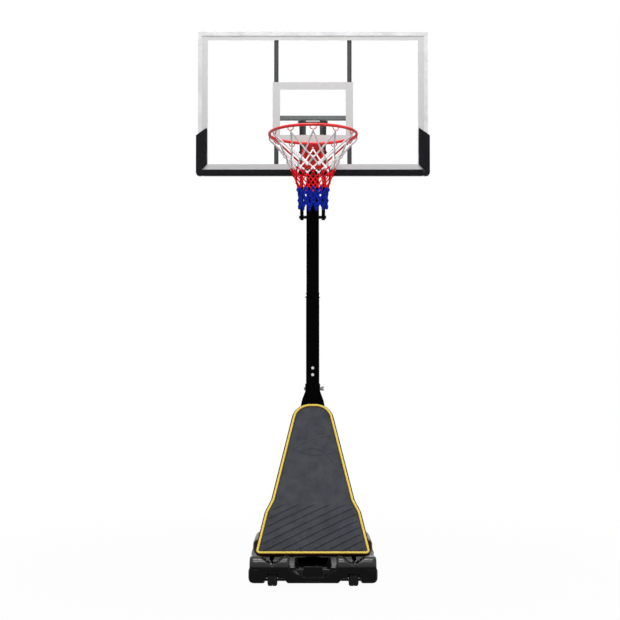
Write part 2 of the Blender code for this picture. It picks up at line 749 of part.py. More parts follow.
def add_sector(paint):
    """The bracket bolted to the back of the pole: a flange and two ears with a curved slot."""
    front = POLE_SIDE / 2 + FIT
    back = front + GUIDE_PLATE
    top = GUIDE_PIVOT_Z + SECTOR_FLANGE_TOP
    half = SECTOR_FLANGE_WIDTH / 2
    flange = block((-half, half), (front, back), (GUIDE_PIVOT_Z - SECTOR_FLANGE_BOTTOM, top))
    bracket = finish("adjuster_bracket", flange, paint["steel"])
    pivot = (-GUIDE_PIVOT_AHEAD, GUIDE_PIVOT_Z)
    low_deg = -ARM_REST_DEG - LIFT_UP_DEG - SLOT_SPARE_DEG
    high_deg = -ARM_REST_DEG + LIFT_DOWN_DEG + SLOT_SPARE_DEG
    root = front + GUIDE_PLATE / 2
    ear = [(root, GUIDE_PIVOT_Z - SECTOR_RADIUS)]
    ear += arc(pivot, SECTOR_RADIUS, low_deg - EAR_SPARE_DEG, high_deg + EAR_SPARE_DEG, SECTOR_STEPS)
    ear += [(root, top - GUIDE_PLATE)]
    slot_half = CLAMP_BOLT_RADIUS + RUN
    slot = arc(pivot, SECTOR_SLOT_RADIUS + slot_half, low_deg, high_deg, SECTOR_STEPS)
    slot += arc(pivot, SECTOR_SLOT_RADIUS - slot_half, high_deg, low_deg, SECTOR_STEPS)
    for label, side in SIDES:
        fuse(bracket, prism(ear, "YZ", *sorted((side * EAR_INNER_X, side * EAR_OUTER_X))), f"{label}_ear")
    carve(bracket, prism(slot, "YZ", -2 * EAR_OUTER_X, 2 * EAR_OUTER_X), "slot")
    carve(bracket, hole_across(*pivot, PIN_RADIUS + RUN, 2 * EAR_OUTER_X), "pivot_hole")
    for label, z in GUIDE_BOLTS:
        hole = hole_along(z, PIN_RADIUS + FIT, front - GUIDE_PLATE, back + GUIDE_PLATE)
        carve(bracket, hole, f"{label}_bolt_hole")
        add_guide_bolt(label, z, back + FIT, paint)


def add_guide_bolt(label, z, nut_y, paint):
    """A bolt through the pole from its front face to the bracket behind it."""
    head_y = -POLE_SIDE / 2 - FIT
    sections = [
        (head_y - BOLT_HEAD_HEIGHT, BOLT_HEAD_RADIUS, True),
        (head_y, BOLT_HEAD_RADIUS, True),
        (head_y, PIN_RADIUS, False),
        (nut_y, PIN_RADIUS, False),
        (nut_y, BOLT_HEAD_RADIUS, True),
        (nut_y + BOLT_HEAD_HEIGHT, BOLT_HEAD_RADIUS, True),
    ]
    shape = pin_shape(sections)
    bmesh.ops.rotate(shape, verts=shape.verts, matrix=Matrix.Rotation(math.pi / 2, 3, "Z"))
    finish(f"guide_bracket_bolt_{label}", shape, paint["zinc"], None, (0.0, 0.0, z))


def add_guide_link(paint, guide):
    """A fork of two plates and a web, parallel to the lift arms."""
    plate = stadium((0.0, 0.0), (ARM_REAR_REACH, 0.0), GUIDE_PLATE_WIDTH / 2)
    fork = finish("guide_link", prism(plate, "YZ", -PLATE_OUTER_X, -PLATE_INNER_X), paint["steel"], guide)
    fuse(fork, prism(plate, "YZ", PLATE_INNER_X, PLATE_OUTER_X), "second_plate")
    web_half = PLATE_INNER_X + GUIDE_PLATE / 2
    web_y = (SECTOR_SLOT_RADIUS + WEB_FROM_CLAMP, ARM_REAR_REACH - WEB_FROM_LINK)
    fuse(fork, block((-web_half, web_half), web_y, (-GUIDE_PLATE / 2, GUIDE_PLATE / 2)), "web")
    for label, y, radius in (
        ("pivot", 0.0, PIN_RADIUS),
        ("clamp", SECTOR_SLOT_RADIUS, CLAMP_BOLT_RADIUS),
        ("link", ARM_REAR_REACH, PIN_RADIUS),
    ):
        carve(fork, hole_across(y, 0.0, radius + RUN, 2 * PLATE_OUTER_X), f"{label}_hole")


def add_knob(paint, guide):
    """The clamp knob, its bolt riding in the sector's slot."""
    start = EAR_OUTER_X + FIT
    sections = [
        (-start - BOLT_HEAD_HEIGHT, BOLT_HEAD_RADIUS, True),
        (-start, BOLT_HEAD_RADIUS, True),
        (-start, CLAMP_BOLT_RADIUS, False),
        (start, CLAMP_BOLT_RADIUS, False),
    ]
    centre = (0.0, SECTOR_SLOT_RADIUS, 0.0)
    knob = finish("clamp_knob", pin_shape(sections), paint["dark_bolt"], guide, centre)
    low = start - FIT / 2
    high = low + KNOB_HEIGHT
    rings = []
    profile = ((low, KNOB_TAPER), (low + KNOB_EDGE, 1.0), (high - KNOB_EDGE, 1.0), (high, KNOB_TAPER))
    for x, share in profile:
        ring = []
        for i in range(KNOB_STEPS):
            angle = 2 * math.pi * i / KNOB_STEPS
            radius = KNOB_RADIUS * share * (1.0 - KNOB_WAVE + KNOB_WAVE * math.cos(KNOB_LOBES * angle))
            ring.append((x, radius * math.cos(angle), radius * math.sin(angle)))
        rings.append(ring)
    fuse(knob, loft(rings), "head")


def add_rear_link(paint):
    """The long link from the cross bolt down past the guide link to the hand grip."""
    pivot = empty("rear_link_pivot", at(0.0, REAR_PIN_AHEAD, REAR_PIN_Z))
    joint = Vector((-GUIDE_PIVOT_AHEAD, GUIDE_PIVOT_Z - LOWER_PIVOT_Z))
    along = joint.normalized()
    tail = joint + along * LINK_TAIL
    half = LINK_WIDTH / 2
    bar = prism(stadium((0.0, 0.0), tail, LINK_DEPTH / 2), "YZ", -half, half)
    link = finish("rear_link", bar, paint["steel"], pivot)
    soften(link, LINK_EDGE)
    for label, place in (("top", (0.0, 0.0)), ("guide", joint)):
        carve(link, hole_across(*place, PIN_RADIUS + RUN, LINK_WIDTH), f"{label}_hole")
    add_bolt("guide_link_bolt", (0.0, *joint), PLATE_OUTER_X, paint["zinc"], pivot)
    grip_from = tail - along * GRIP_LENGTH
    wall = FIT + GRIP_WALL
    sleeve = prism(stadium(grip_from, tail, LINK_DEPTH / 2 + wall), "YZ", -half - wall, half + wall)
    grip = finish("adjuster_grip", sleeve, paint["grip"], pivot)
    soften(grip, GRIP_EDGE)
    core = stadium(grip_from - along * GRIP_LENGTH, tail, LINK_DEPTH / 2 + FIT)
    carve(grip, prism(core, "YZ", -half - FIT, half + FIT), "core")


def rail_shape(length, reach):
    """A mitred rail along X, its outer edge at -reach, with a slot for the sheet on its inner side."""
    slot_rear = RAIL_FRONT_WALL + SHEET_THICKNESS + 2 * FIT
    inner = RAIL_LIP - RAIL_SLOT
    section = [
        (0.0, 0.0),
        (RAIL_LIP, 0.0),
        (RAIL_LIP, RAIL_FRONT_WALL),
        (inner, RAIL_FRONT_WALL),
        (inner, slot_rear),
        (RAIL_LIP, slot_rear),
        (RAIL_LIP, RAIL_DEPTH),
        (0.0, RAIL_DEPTH),
    ]
    rings = []
    for side in (-1, 1):
        ring = []
        for inward, depth in section:
            x = side * (length / 2 - inward - MITRE_GAP)
            ring.append((x, -RAIL_FRONT_AHEAD + depth, inward - reach))
        rings.append(ring)
    return loft(rings)


def make_backboard(paint):
    """The board on its own pivot, with everything that rises and falls with it."""
    board = empty("backboard_pivot", at(0.0, BOARD_PIVOT_AHEAD, BOARD_PIVOT_Z))
    shift = (0.0, BOARD_PIVOT_AHEAD, -BOARD_PIVOT_Z)
    add_rails(paint, board, shift)
    add_sheet(paint, board, shift)
    add_posts(paint, board, shift)
    for label, side in SIDES:
        add_bracket(f"board_bracket_{label}", side, board, shift, paint["post"])
    for label, z in (("lower", 0.0), ("upper", ARM_PIVOT_SPACING)):
        add_bolt(f"{label}_board_pivot_bolt", (0.0, 0.0, z), ARM_OUTER_X, paint["dark_bolt"], board)
    make_edge_pads(paint, board, shift)
    make_rim(paint, board, shift)
    make_nets(paint, board, shift)


def add_rails(paint, board, shift):
    """Four mitred frame rails round the sheet."""
    middle_z = (BOARD_BOTTOM_Z + BOARD_TOP_Z) / 2
    for name, turn, length, reach in (
        ("frame_rail_top", 180.0, BOARD_WIDTH, BOARD_HEIGHT / 2),
        ("frame_rail_bottom", 0.0, BOARD_WIDTH, BOARD_HEIGHT / 2),
        ("frame_rail_left", 90.0, BOARD_HEIGHT, BOARD_WIDTH / 2),
        ("frame_rail_right", -90.0, BOARD_HEIGHT, BOARD_WIDTH / 2),
    ):
        shape = rail_shape(length, reach)
        bmesh.ops.rotate(shape, verts=shape.verts, matrix=Matrix.Rotation(math.radians(turn), 3, "Y"))
        bmesh.ops.translate(shape, verts=shape.verts, vec=(0.0, 0.0, middle_z))
        finish(name, shape, paint["frame"], board, shift)


def add_sheet(paint, board, shift):
    """The clear sheet and the printed lines on its face."""
    edge = RAIL_LIP - RAIL_SLOT + FIT
    sheet = block(
        (-BOARD_WIDTH / 2 + edge, BOARD_WIDTH / 2 - edge),
        (-BOARD_FACE_AHEAD, -SHEET_REAR_AHEAD),
        (BOARD_BOTTOM_Z + edge, BOARD_TOP_Z - edge),
    )
    finish("acrylic_sheet", sheet, paint["clear"], board, shift)
    half = BOARD_WIDTH / 2 - RAIL_LIP - FIT
    border = frame_strip(half, INSIDE_RAILS_LOW, INSIDE_RAILS_HIGH, PRINT_SIDE, PRINT_BOTTOM, PRINT_TOP)
    finish("border_print", border, paint["print"], board, shift)
    low = RIM_HEIGHT + SQUARE_ABOVE_RIM
    high = low + SQUARE_HEIGHT
    square = frame_strip(SQUARE_WIDTH / 2, low, high, SQUARE_LINE, SQUARE_LINE, SQUARE_LINE)
    finish("target_square", square, paint["print"], board, shift)


def add_posts(paint, board, shift):
    """The two upright tubes behind the sheet and the cross bar between them."""
    post_middle = -(POST_FRONT_AHEAD + POST_REAR_AHEAD) / 2
    for label, side in SIDES:
        post = tube_shape(POST_SIDE, TUBE_WALL, TUBE_CORNER, INSIDE_RAILS_LOW, INSIDE_RAILS_HIGH)
        bmesh.ops.translate(post, verts=post.verts, vec=(side * POST_X, post_middle, 0.0))
        finish(f"board_post_{label}", post, paint["post"], board, shift)
    bar_half = POST_X - POST_SIDE / 2 - FIT
    bar = tube_shape(POST_SIDE, TUBE_WALL, TUBE_CORNER, -bar_half, bar_half)
    bmesh.ops.rotate(bar, verts=bar.verts, matrix=Matrix.Rotation(math.pi / 2, 3, "Y"))
    bmesh.ops.translate(bar, verts=bar.verts, vec=(0.0, post_middle, RIM_HEIGHT + CROSSBAR_ABOVE_RIM))
    finish("board_crossbar", bar, paint["crossbar"], board, shift)


def frame_strip(half, low, high, side, bottom, top):
    """A flat printed frame on the sheet's face: one closed band round a rectangular window."""
    back = -BOARD_FACE_AHEAD - FIT
    front = back - PRINT_THICKNESS
    inner_half = half - side
    outer = rectangle(half, low, high)
    inner = rectangle(inner_half, low + bottom, high - top)
    rings = []
    for outline, y in ((outer, front), (outer, back), (inner, back), (inner, front)):
        rings.append([(u, y, v) for u, v in outline])
    return loft(rings, closed=True)


def add_bracket(name, side, parent, shift, colour):
    """An upright of folded plate: a flange on the cross bar and a web that the arms pivot on."""
    flange_front = POST_REAR_AHEAD - FIT
    flange_rear = flange_front - BRACKET_PLATE
    web_outer = ARM_INNER_X - 2 * FIT
    web_inner = web_outer - BRACKET_PLATE
    low = BOARD_BOTTOM_Z + RAIL_LIP
    high = RIM_HEIGHT + CROSSBAR_ABOVE_RIM + POST_SIDE / 2
    upper_z = BOARD_PIVOT_Z + ARM_PIVOT_SPACING
    web_rear = -BOARD_PIVOT_AHEAD + BRACKET_LOBE
    corners = [
        (-flange_front, low),
        (-flange_rear + BRACKET_FOOT, low),
        (web_rear, BOARD_PIVOT_Z - BRACKET_LOBE - BRACKET_TAPER),
        (web_rear, upper_z + BRACKET_LOBE),
        (-flange_front, high + BRACKET_SETBACK),
    ]
    outline = rounded(corners, BRACKET_RADII, FINE_STEPS)
    web = prism(outline, "YZ", *sorted((side * web_inner, side * web_outer)))
    bracket = finish(name, web, colour, parent, shift)
    flange_x = sorted((side * (web_outer - BRACKET_FLANGE), side * (web_outer - BRACKET_PLATE / 2)))
    flange = block(flange_x, (-flange_front, -flange_rear), (low + BRACKET_SETBACK, high))
    fuse(bracket, flange, "flange")
    for label, z in (("lower", BOARD_PIVOT_Z), ("upper", upper_z)):
        hole = hole_across(-BOARD_PIVOT_AHEAD, z, PIN_RADIUS + FIT, 2 * ARM_INNER_X)
        carve(bracket, hole, f"{label}_hole")


def make_edge_pads(paint, board, shift):
    """Foam channels that wrap the bottom edge and the two lower corners."""
    outer_half = BOARD_WIDTH / 2 + PAD_WALL
    inner_half = BOARD_WIDTH / 2 - PAD_SIDE_COVER
    low = BOARD_BOTTOM_Z - PAD_WALL
    cover_z = BOARD_BOTTOM_Z + RAIL_LIP - FIT
    side_top = low + PAD_SIDE_HEIGHT
    depth = (-RAIL_FRONT_AHEAD - FIT - PAD_FACE_WALL, -RAIL_REAR_AHEAD + FIT + PAD_FACE_WALL)
    groove_y = (-RAIL_FRONT_AHEAD - FIT, -RAIL_REAR_AHEAD + FIT)
    groove_x = (-BOARD_WIDTH / 2 - FIT, BOARD_WIDTH / 2 + FIT)
    groove_low = BOARD_BOTTOM_Z - FIT
    for label, side in SIDES:
        corners = [
            (side * outer_half, low),
            (side * outer_half, side_top - PAD_TOP_SLANT),
            (side * inner_half, side_top),
            (side * inner_half, cover_z + PAD_MITRE),
            (side * (inner_half + PAD_MITRE), cover_z),
            (side * (inner_half + PAD_MITRE), low),
        ]
        outline = rounded(corners, PAD_CORNER_RADII)
        pad = finish(f"board_pad_{label}", prism(outline, "XZ", *depth), paint["pad"], board, shift)
        soften(pad, PAD_EDGE)
        carve(pad, block(groove_x, groove_y, (groove_low, side_top + CUT_SPARE)), "groove")
    bottom_half = inner_half + PAD_MITRE - FIT
    shape = block((-bottom_half, bottom_half), depth, (low, cover_z))
    pad = finish("board_pad_bottom", shape, paint["pad"], board, shift)
    soften(pad, PAD_EDGE)
    carve(pad, block(groove_x, groove_y, (groove_low, cover_z + CUT_SPARE)), "groove")


def make_rim(paint, board, shift):
    ring_points = [on_ring(RING_RADIUS, 2 * math.pi * i / RING_STEPS, RIM_HEIGHT) for i in range(RING_STEPS)]
    ring = finish("rim_ring", rod(ring_points, RIM_ROD, RIM_SIDES, True), paint["rim"], board, shift)
    for i in range(HOOK_COUNT):
        fuse(ring, hook_shape(2 * math.pi * i / HOOK_COUNT), f"hook_{i}")
    add_rim_plate(paint, board, shift)
    seat = rod(ring_points, RIM_ROD + FIT, RIM_SIDES, True)
    add_rim_channel(paint, board, shift, seat)
    add_braces(paint, board, shift)


def add_rim_plate(paint, board, shift):
    """The plate on the sheet's face, with its four bolt heads."""
    outline = rectangle(RIM_PLATE_WIDTH / 2, RIM_PLATE_LOW_Z, RIM_PLATE_TOP_Z)
    outline = rounded(outline, RIM_PLATE_CORNER, FINE_STEPS)
    plate = prism(outline, "XZ", -PLATE_FRONT_AHEAD, -PLATE_REAR_AHEAD)
    plate = finish("rim_plate", plate, paint["rim"], board, shift)
    for i, (x, z) in enumerate(((-1, -1), (1, -1), (-1, 1), (1, 1))):
        height = RIM_PLATE_THICKNESS / 2 + RIM_BOLT_HEIGHT
        head = pin_shape([(0.0, RIM_BOLT_RADIUS, True), (height, RIM_BOLT_RADIUS, True)])
        bmesh.ops.rotate(head, verts=head.verts, matrix=Matrix.Rotation(-math.pi / 2, 3, "Z"))
        place_z = RIM_PLATE_TOP_Z - RIM_PLATE_HEIGHT / 2 + z * RIM_BOLT_Z
        centre = at(x * RIM_BOLT_X, PLATE_FRONT_AHEAD - RIM_PLATE_THICKNESS / 2, place_z)
        bmesh.ops.translate(head, verts=head.verts, vec=centre)
        fuse(plate, head, f"bolt_head_{i}")


def add_rim_channel(paint, board, shift, seat):
    """The folded channel from the plate to the ring's rear, which sits in its seat."""
    rear = PLATE_FRONT_AHEAD + FIT
    front = RIM_CENTRE_AHEAD - RING_RADIUS - RIM_ROD * CHANNEL_SEAT
    upper = RIM_HEIGHT + RIM_CHANNEL_ABOVE
    wall = RIM_CHANNEL_WALL
    half = RIM_CHANNEL_WIDTH / 2
    side = [
        (-rear, upper),
        (-front, upper),
        (-front, upper - RIM_CHANNEL_FRONT_DEPTH),
        (-rear, upper - RIM_CHANNEL_REAR_DEPTH),
    ]
    channel = finish("rim_channel", prism(side, "YZ", -half, half), paint["rim"], board, shift)
    pocket_side = [
        (-rear - wall, upper + CUT_SPARE),
        (-front + CHANNEL_NOSE, upper + CUT_SPARE),
        (-front + CHANNEL_NOSE, upper - RIM_CHANNEL_FRONT_DEPTH),
        (-rear - wall, upper - RIM_CHANNEL_REAR_DEPTH + 2 * wall),
    ]
    carve(channel, prism(pocket_side, "YZ", -half + wall, half - wall), "pocket")
    carve(channel, seat, "ring_seat")


def on_ring(radius, angle, z):
    """A point on a circle round the rim's centre, the angle counted from straight ahead."""
    return at(radius * math.sin(angle), RIM_CENTRE_AHEAD + radius * math.cos(angle), z)


def add_braces(paint, board, shift):
    """Round braces that leave the ring's outside on a tangent and end at the plate's lower corners."""
    wrap_radius = RING_RADIUS + RIM_ROD + BRACE_RADIUS + 2 * FIT
    plate_face = PLATE_FRONT_AHEAD + FIT
    behind = RIM_CENTRE_AHEAD - plate_face
    tangent = math.atan2(BRACE_END_X, behind) + math.acos(wrap_radius / math.hypot(BRACE_END_X, behind))
    for label, sign in SIDES:
        points = []
        for extra in BRACE_WRAP_DEG:
            angle = math.pi - sign * (tangent + math.radians(extra))
            points.append(on_ring(wrap_radius, angle, RIM_HEIGHT))
        end = at(sign * BRACE_END_X, plate_face, RIM_PLATE_LOW_Z + BRACE_END_ABOVE)
        run = (end - points[-1]).normalized()
        points += [end - run * BRACE_LAST_RUN, end]
        brace = rod(points, BRACE_RADIUS, BRACE_SIDES)
        square_end(brace, -plate_face)
        finish(f"rim_brace_{label}", brace, paint["rim"], board, shift)


def square_end(shape, plane_y):
    """Brings the last ring of a slanted rod onto the plate's face."""
    shape.verts.ensure_lookup_table()
    for vertex in shape.verts[-BRACE_SIDES:]:
        vertex.co.y = plane_y


def hook_shape(angle):
    """A bent wire loop under the ring that holds one loop of the net."""
    centre = on_ring(RING_RADIUS, angle, RIM_HEIGHT - RIM_ROD * HOOK_ROOT)
    tangent = Vector((math.cos(angle), math.sin(angle), 0.0))
    reach = HOOK_DROP + RIM_ROD * (1.0 - HOOK_ROOT)
    points = []
    for k in range(HOOK_STEPS + 1):
        turn = math.pi * k / HOOK_STEPS
        drop = reach * math.sin(turn) ** HOOK_ROUNDNESS
        points.append(centre + tangent * (HOOK_SPAN / 2 * math.cos(turn)) - Vector((0.0, 0.0, drop)))
    return rod(points, HOOK_ROD, HOOK_SIDES)


def make_nets(paint, board, shift):
    """Three nets, each starting a small gap below the last row of the one above."""
    top_drop = RIM_ROD + HOOK_DROP + HOOK_ROD + NET_CORD
    white = ((top_drop, NET_TOP_RADIUS),) + NET_WHITE_ROWS
    red = ((NET_WHITE_ROWS[-1][0] + NET_TIP_GAP_RED, NET_WHITE_ROWS[-1][1]),) + NET_RED_ROWS
    blue = ((NET_RED_ROWS[-1][0] + NET_TIP_GAP_BLUE, NET_RED_ROWS[-1][1]),) + NET_BLUE_ROWS
    add_net("net_white", white, 0, paint["white"], board, shift)
    add_net("net_red", red, 1, paint["red"], board, shift)
    add_net("net_blue", blue, 0, paint["blue"], board, shift)


def add_net(name, rows, parity, colour, parent, shift):
    """Diamond mesh: each row's knots lie half a pitch from the last row's."""
    shape = bmesh.new()
    knots = []
    for k, (drop, radius) in enumerate(rows):
        row = []
        for j in range(HOOK_COUNT):
            angle = 2 * math.pi * (j + 0.5 * ((k + parity) % 2)) / HOOK_COUNT
            row.append(shape.verts.new(on_ring(radius, angle, RIM_HEIGHT - drop)))
        knots.append(row)
    for k in range(len(rows) - 2):
        start = 0 if (k + parity) % 2 else -1
        for j in range(HOOK_COUNT):
            first = knots[k + 1][(j + start) % HOOK_COUNT]
            second = knots[k + 1][(j + start + 1) % HOOK_COUNT]
            shape.faces.new((knots[k][j], first, knots[k + 2][j], second))
    net = finish(name, shape, colour, parent, shift)
    cords = net.modifiers.new("cords", "WIREFRAME")
    cords.thickness = NET_CORD
    cords.use_even_offset = True
    cords.use_boundary = True
    cords.use_replace = True
    return net


def panel_corners():
    """The piping's centre line, counter-clockwise, in the sloping plane."""
    right = [
        (PANEL_BOTTOM_X, -PANEL_BOTTOM),
        (PANEL_SHOULDER_X, -PANEL_SHOULDER),
        (PANEL_NECK_X, -PANEL_NECK),
        (PANEL_TOP_X, -PANEL_TOP),
    ]
    return right + [(-x, y) for x, y in reversed(right)]


def panel_outline(outwards):
    radii = [PANEL_CORNER + outwards, PANEL_BEND, PANEL_BEND, PANEL_TOP_CORNER + outwards]
    return rounded(inset_corners(panel_corners(), -outwards), radii + radii[::-1])


def half_width_at(outline, y):
    """Where the outline's right side crosses the height y."""
    best = 0.0
    for (x0, y0), (x1, y1) in zip(outline, outline[1:] + outline[:1]):
        if min(y0, y1) <= y <= max(y0, y1) and abs(y1 - y0) > 1e-9:
            best = max(best, x0 + (x1 - x0) * (y - y0) / (y1 - y0))
    return best


def make_panel(paint):
    plane = empty("panel_plane", (0.0, 0.0, STRUT_BOLT_Z), (PANEL_SLOPE, 0.0, 0.0))
    backing = prism(panel_outline(PANEL_EDGE - BACKING_INSET), "XY", BOARD_BACK, BOARD_FRONT)
    board = finish("panel_board", backing, paint["backing"], plane)
    for label, side in SIDES:
        for i, distance in enumerate(CLIP_DISTANCES):
            fuse(board, clip_shape(side, distance), f"{label}_clip_{i}")
    make_cushion(paint, plane)
    half = TRIM_WIDTH / 2
    low = CUSHION_RIM + FIT
    section = [
        (-half, low),
        (-half, low + TRIM_HEIGHT * TRIM_SHOULDER),
        (-half * TRIM_SHOULDER, low + TRIM_HEIGHT),
        (half * TRIM_SHOULDER, low + TRIM_HEIGHT),
        (half, low + TRIM_HEIGHT * TRIM_SHOULDER),
        (half, low),
    ]
    rings = [[(x, y, z) for x, y in panel_outline(outwards)] for outwards, z in section]
    finish("panel_trim", loft(rings, closed=True), paint["trim"], plane)
    make_struts(paint, plane)


def make_cushion(paint, plane):
    """Crowned foam cushion, with a flat margin for the piping and raised slanting ribs."""
    outline = panel_outline(PANEL_EDGE)
    window = panel_outline(-TRIM_WIDTH / 2 - FIT)
    low = min(y for _, y in window)
    top = max(y for _, y in window)
    shape = bmesh.new()
    grid = []
    for k in range(CUSHION_ROWS + 1):
        y = low + (top - low) * k / CUSHION_ROWS
        half = half_width_at(window, min(max(y, low + RUN), top - RUN))
        row = []
        for j in range(CUSHION_COLUMNS + 1):
            x = half * (2 * j / CUSHION_COLUMNS - 1)
            row.append(shape.verts.new((x, y, cushion_height(x, y, half, low, top))))
        grid.append(row)
    for lower, upper in zip(grid, grid[1:]):
        for j in range(CUSHION_COLUMNS):
            shape.faces.new((lower[j], lower[j + 1], upper[j + 1], upper[j]))
    right = [row[-1] for row in grid[1:-1]]
    left = [row[0] for row in grid[1:-1]]
    border = grid[0] + right + grid[-1][::-1] + left[::-1]
    rings = [border]
    for height in (CUSHION_RIM, CUSHION_BACK):
        ring = []
        for vertex in border:
            ring.append(shape.verts.new((*nearest_on(outline, vertex.co.x, vertex.co.y), height)))
        rings.append(ring)
    count = len(border)
    for first, second in zip(rings, rings[1:]):
        for i in range(count):
            j = (i + 1) % count
            shape.faces.new((first[i], first[j], second[j], second[i]))
    shape.faces.new(rings[-1])
    finish("panel_cushion", shape, paint["cushion"], plane)


def nearest_on(outline, x, y):
    """The closest point of the outline, so that the margin keeps its width."""
    here = Vector((x, y))
    best = None
    for start, end in zip(outline, outline[1:] + outline[:1]):
        a, b = Vector(start), Vector(end)
        if a == b:
            continue
        share = max(0.0, min(1.0, (here - a).dot(b - a) / (b - a).length_squared))
        point = a + (b - a) * share
        if best is None or (point - here).length < (best - here).length:
            best = point
    return tuple(best)


def cushion_height(x, y, half, low, top):
    across = max(0.0, 1.0 - (abs(x) / half) ** CROWN_POWER_ACROSS)
    along = max(0.0, 1.0 - abs(2 * (y - low) / (top - low) - 1.0) ** CROWN_POWER_ALONG)
    slope = math.radians(RIB_SLOPE_DEG)
    phase = (y * math.cos(slope) - x * math.sin(slope)) / RIB_PITCH
    below = (-y - RIB_FROM) / RIB_FADE
    margin = min(half - abs(x), y - low) / RIB_FADE
    share = max(0.0, min(1.0, below)) * max(0.0, min(1.0, margin))
    rib = RIB_HEIGHT * share * (0.5 + 0.5 * math.cos(2 * math.pi * phase))
    return CUSHION_RIM + PANEL_CROWN * across * along + rib


def strut_line(distance):
    """Sideways place of the strut's centre line, measured down the slope from its bolt."""
    first, last = STRUT_LINE[0], STRUT_LINE[-1]
    if distance <= first[0]:
        return first[1]
    for (start, x0), (end, x1) in zip(STRUT_LINE, STRUT_LINE[1:]):
        if distance <= end:
            return x0 + (x1 - x0) * (distance - start) / (end - start)
    return last[1]


def clip_shape(side, distance):
    """A moulded saddle on the board's back that the strut snaps into."""
    centre = Vector((side * strut_line(distance), -distance, 0.0))
    ahead = Vector((side * strut_line(distance + CLIP_LENGTH), -distance - CLIP_LENGTH, 0.0))
    along = (ahead - centre).normalized()
    across = Vector((-along.y, along.x, 0.0))
    inner = (STRUT_RADIUS + 2 * FIT) / math.cos(math.pi / CLIP_SIDES)
    outer = inner + CLIP_WALL
    rings = []
    for radius, offset in ((outer, -0.5), (outer, 0.5), (inner, 0.5), (inner, -0.5)):
        ring = []
        for k in range(CLIP_SIDES):
            angle = 2 * math.pi * (k + 0.5) / CLIP_SIDES
            arm = across * math.cos(angle) + Vector((0.0, 0.0, 1.0)) * math.sin(angle)
            ring.append(centre + along * (CLIP_LENGTH * offset) + arm * radius)
        rings.append(ring)
    return loft(rings, closed=True)


def make_struts(paint, plane):
    foot = STRUT_FOOT_DISTANCE
    stations = [(-STRUT_TOP_TAIL * share, 1.0, width) for share, width in STRUT_TIP[::-1]]
    stations += STRUT_NECK
    stations += [(foot - back, flat, 1.0) for back, flat in STRUT_ANKLE]
    stations += [(foot + STRUT_FOOT_TAIL * share, 1.0, width) for share, width in STRUT_TIP]
    for label, side in SIDES:
        rings = []
        for distance, flat, taper in stations:
            thick = STRUT_RADIUS + (STRUT_FLAT - STRUT_RADIUS) * flat
            wide = (STRUT_RADIUS + (STRUT_FLAT_WIDTH - STRUT_RADIUS) * flat) * taper
            squareness = 1.0 - STRUT_SQUARE * flat
            ring = []
            for k in range(STRUT_SIDES):
                angle = 2 * math.pi * k / STRUT_SIDES
                u = math.copysign(abs(math.cos(angle)) ** squareness, math.cos(angle))
                v = math.copysign(abs(math.sin(angle)) ** squareness, math.sin(angle))
                ring.append((side * strut_line(distance) + thick * u, -distance, wide * v))
            rings.append(ring)
        strut = finish(f"strut_{label}", loft(rings), paint["steel"], plane)
        for spot, distance in (("top", 0.0), ("foot", foot)):
            carve(strut, hole_across(-distance, 0.0, PIN_RADIUS + FIT, 2 * STRUT_FOOT_X), f"{spot}_hole")
    add_wing_bolt(paint)
    for label, side in SIDES:
        centre = at(side * LUG_X, FOOT_AHEAD, FOOT_Z)
        add_bolt(f"strut_foot_bolt_{label}", centre, LUG_HALF + FIT + 2 * STRUT_FLAT, paint["zinc"])


def add_wing_bolt(paint):
    """The bolt through the pole that holds both struts, with a wing nut on its right end."""
    grip = POLE_SIDE / 2 + 2 * STRUT_FLAT + FIT
    bolt = add_bolt("strut_top_bolt", (0.0, 0.0, STRUT_BOLT_Z), grip, paint["zinc"])
    inset = (BOLT_HEAD_HEIGHT - WING_THICKNESS) / 2
    wing_x = (grip + FIT + inset, grip + FIT + inset + WING_THICKNESS)
    for label, wing_z in (("upper", (WING_ROOT, WING_REACH)), ("lower", (-WING_REACH, -WING_ROOT))):
        fuse(bolt, block(wing_x, (-WING_HALF, WING_HALF), wing_z), f"{label}_wing")


def tank_outline(inset):
    """Plan of the tank, counter-clockwise seen from above, the front at -Y."""
    right = [
        (BASE_FRONT_HALF, -BASE_FRONT),
        (BASE_FRONT_HALF, -BASE_FRONT + BASE_WING_LENGTH),
        (BASE_WAIST_HALF, -BASE_WAIST_AHEAD),
        (BASE_REAR_HALF, -BASE_WAIST_AHEAD + BASE_WAIST_RUN),
        (BASE_REAR_HALF, -BASE_REAR),
    ]
    corners = right + [(-x, y) for x, y in reversed(right)]
    radii = [max(r - inset, TANK_LEAST_RADIUS) for r in TANK_RADII]
    return rounded(inset_corners(corners, inset), radii + radii[::-1], TANK_STEPS)


def deck_outline(inset):
    """Plan of the raised rear body."""
    half = BASE_REAR_HALF - DECK_INSET
    right = [
        (DECK_NOSE_HALF, -DECK_NOSE_AHEAD),
        (half, -BASE_WAIST_AHEAD + BASE_WAIST_RUN - DECK_INSET),
        (half, -BASE_REAR - DECK_INSET),
    ]
    corners = right + [(-x, y) for x, y in reversed(right)]
    radii = [max(r - inset, TANK_LEAST_RADIUS) for r in DECK_RADII]
    return rounded(inset_corners(corners, inset), radii + radii[::-1], TANK_STEPS)


def levels_shape(outline, levels):
    """Skins a plan outline through several heights, each with its own inset."""
    return loft([[(x, y, z) for x, y in outline(inset)] for z, inset in levels])


def tapered_shape(bottom, top, low, high):
    """A solid that changes from one plan outline to another on its way up."""
    return loft([[(x, y, low) for x, y in bottom], [(x, y, high) for x, y in top]])


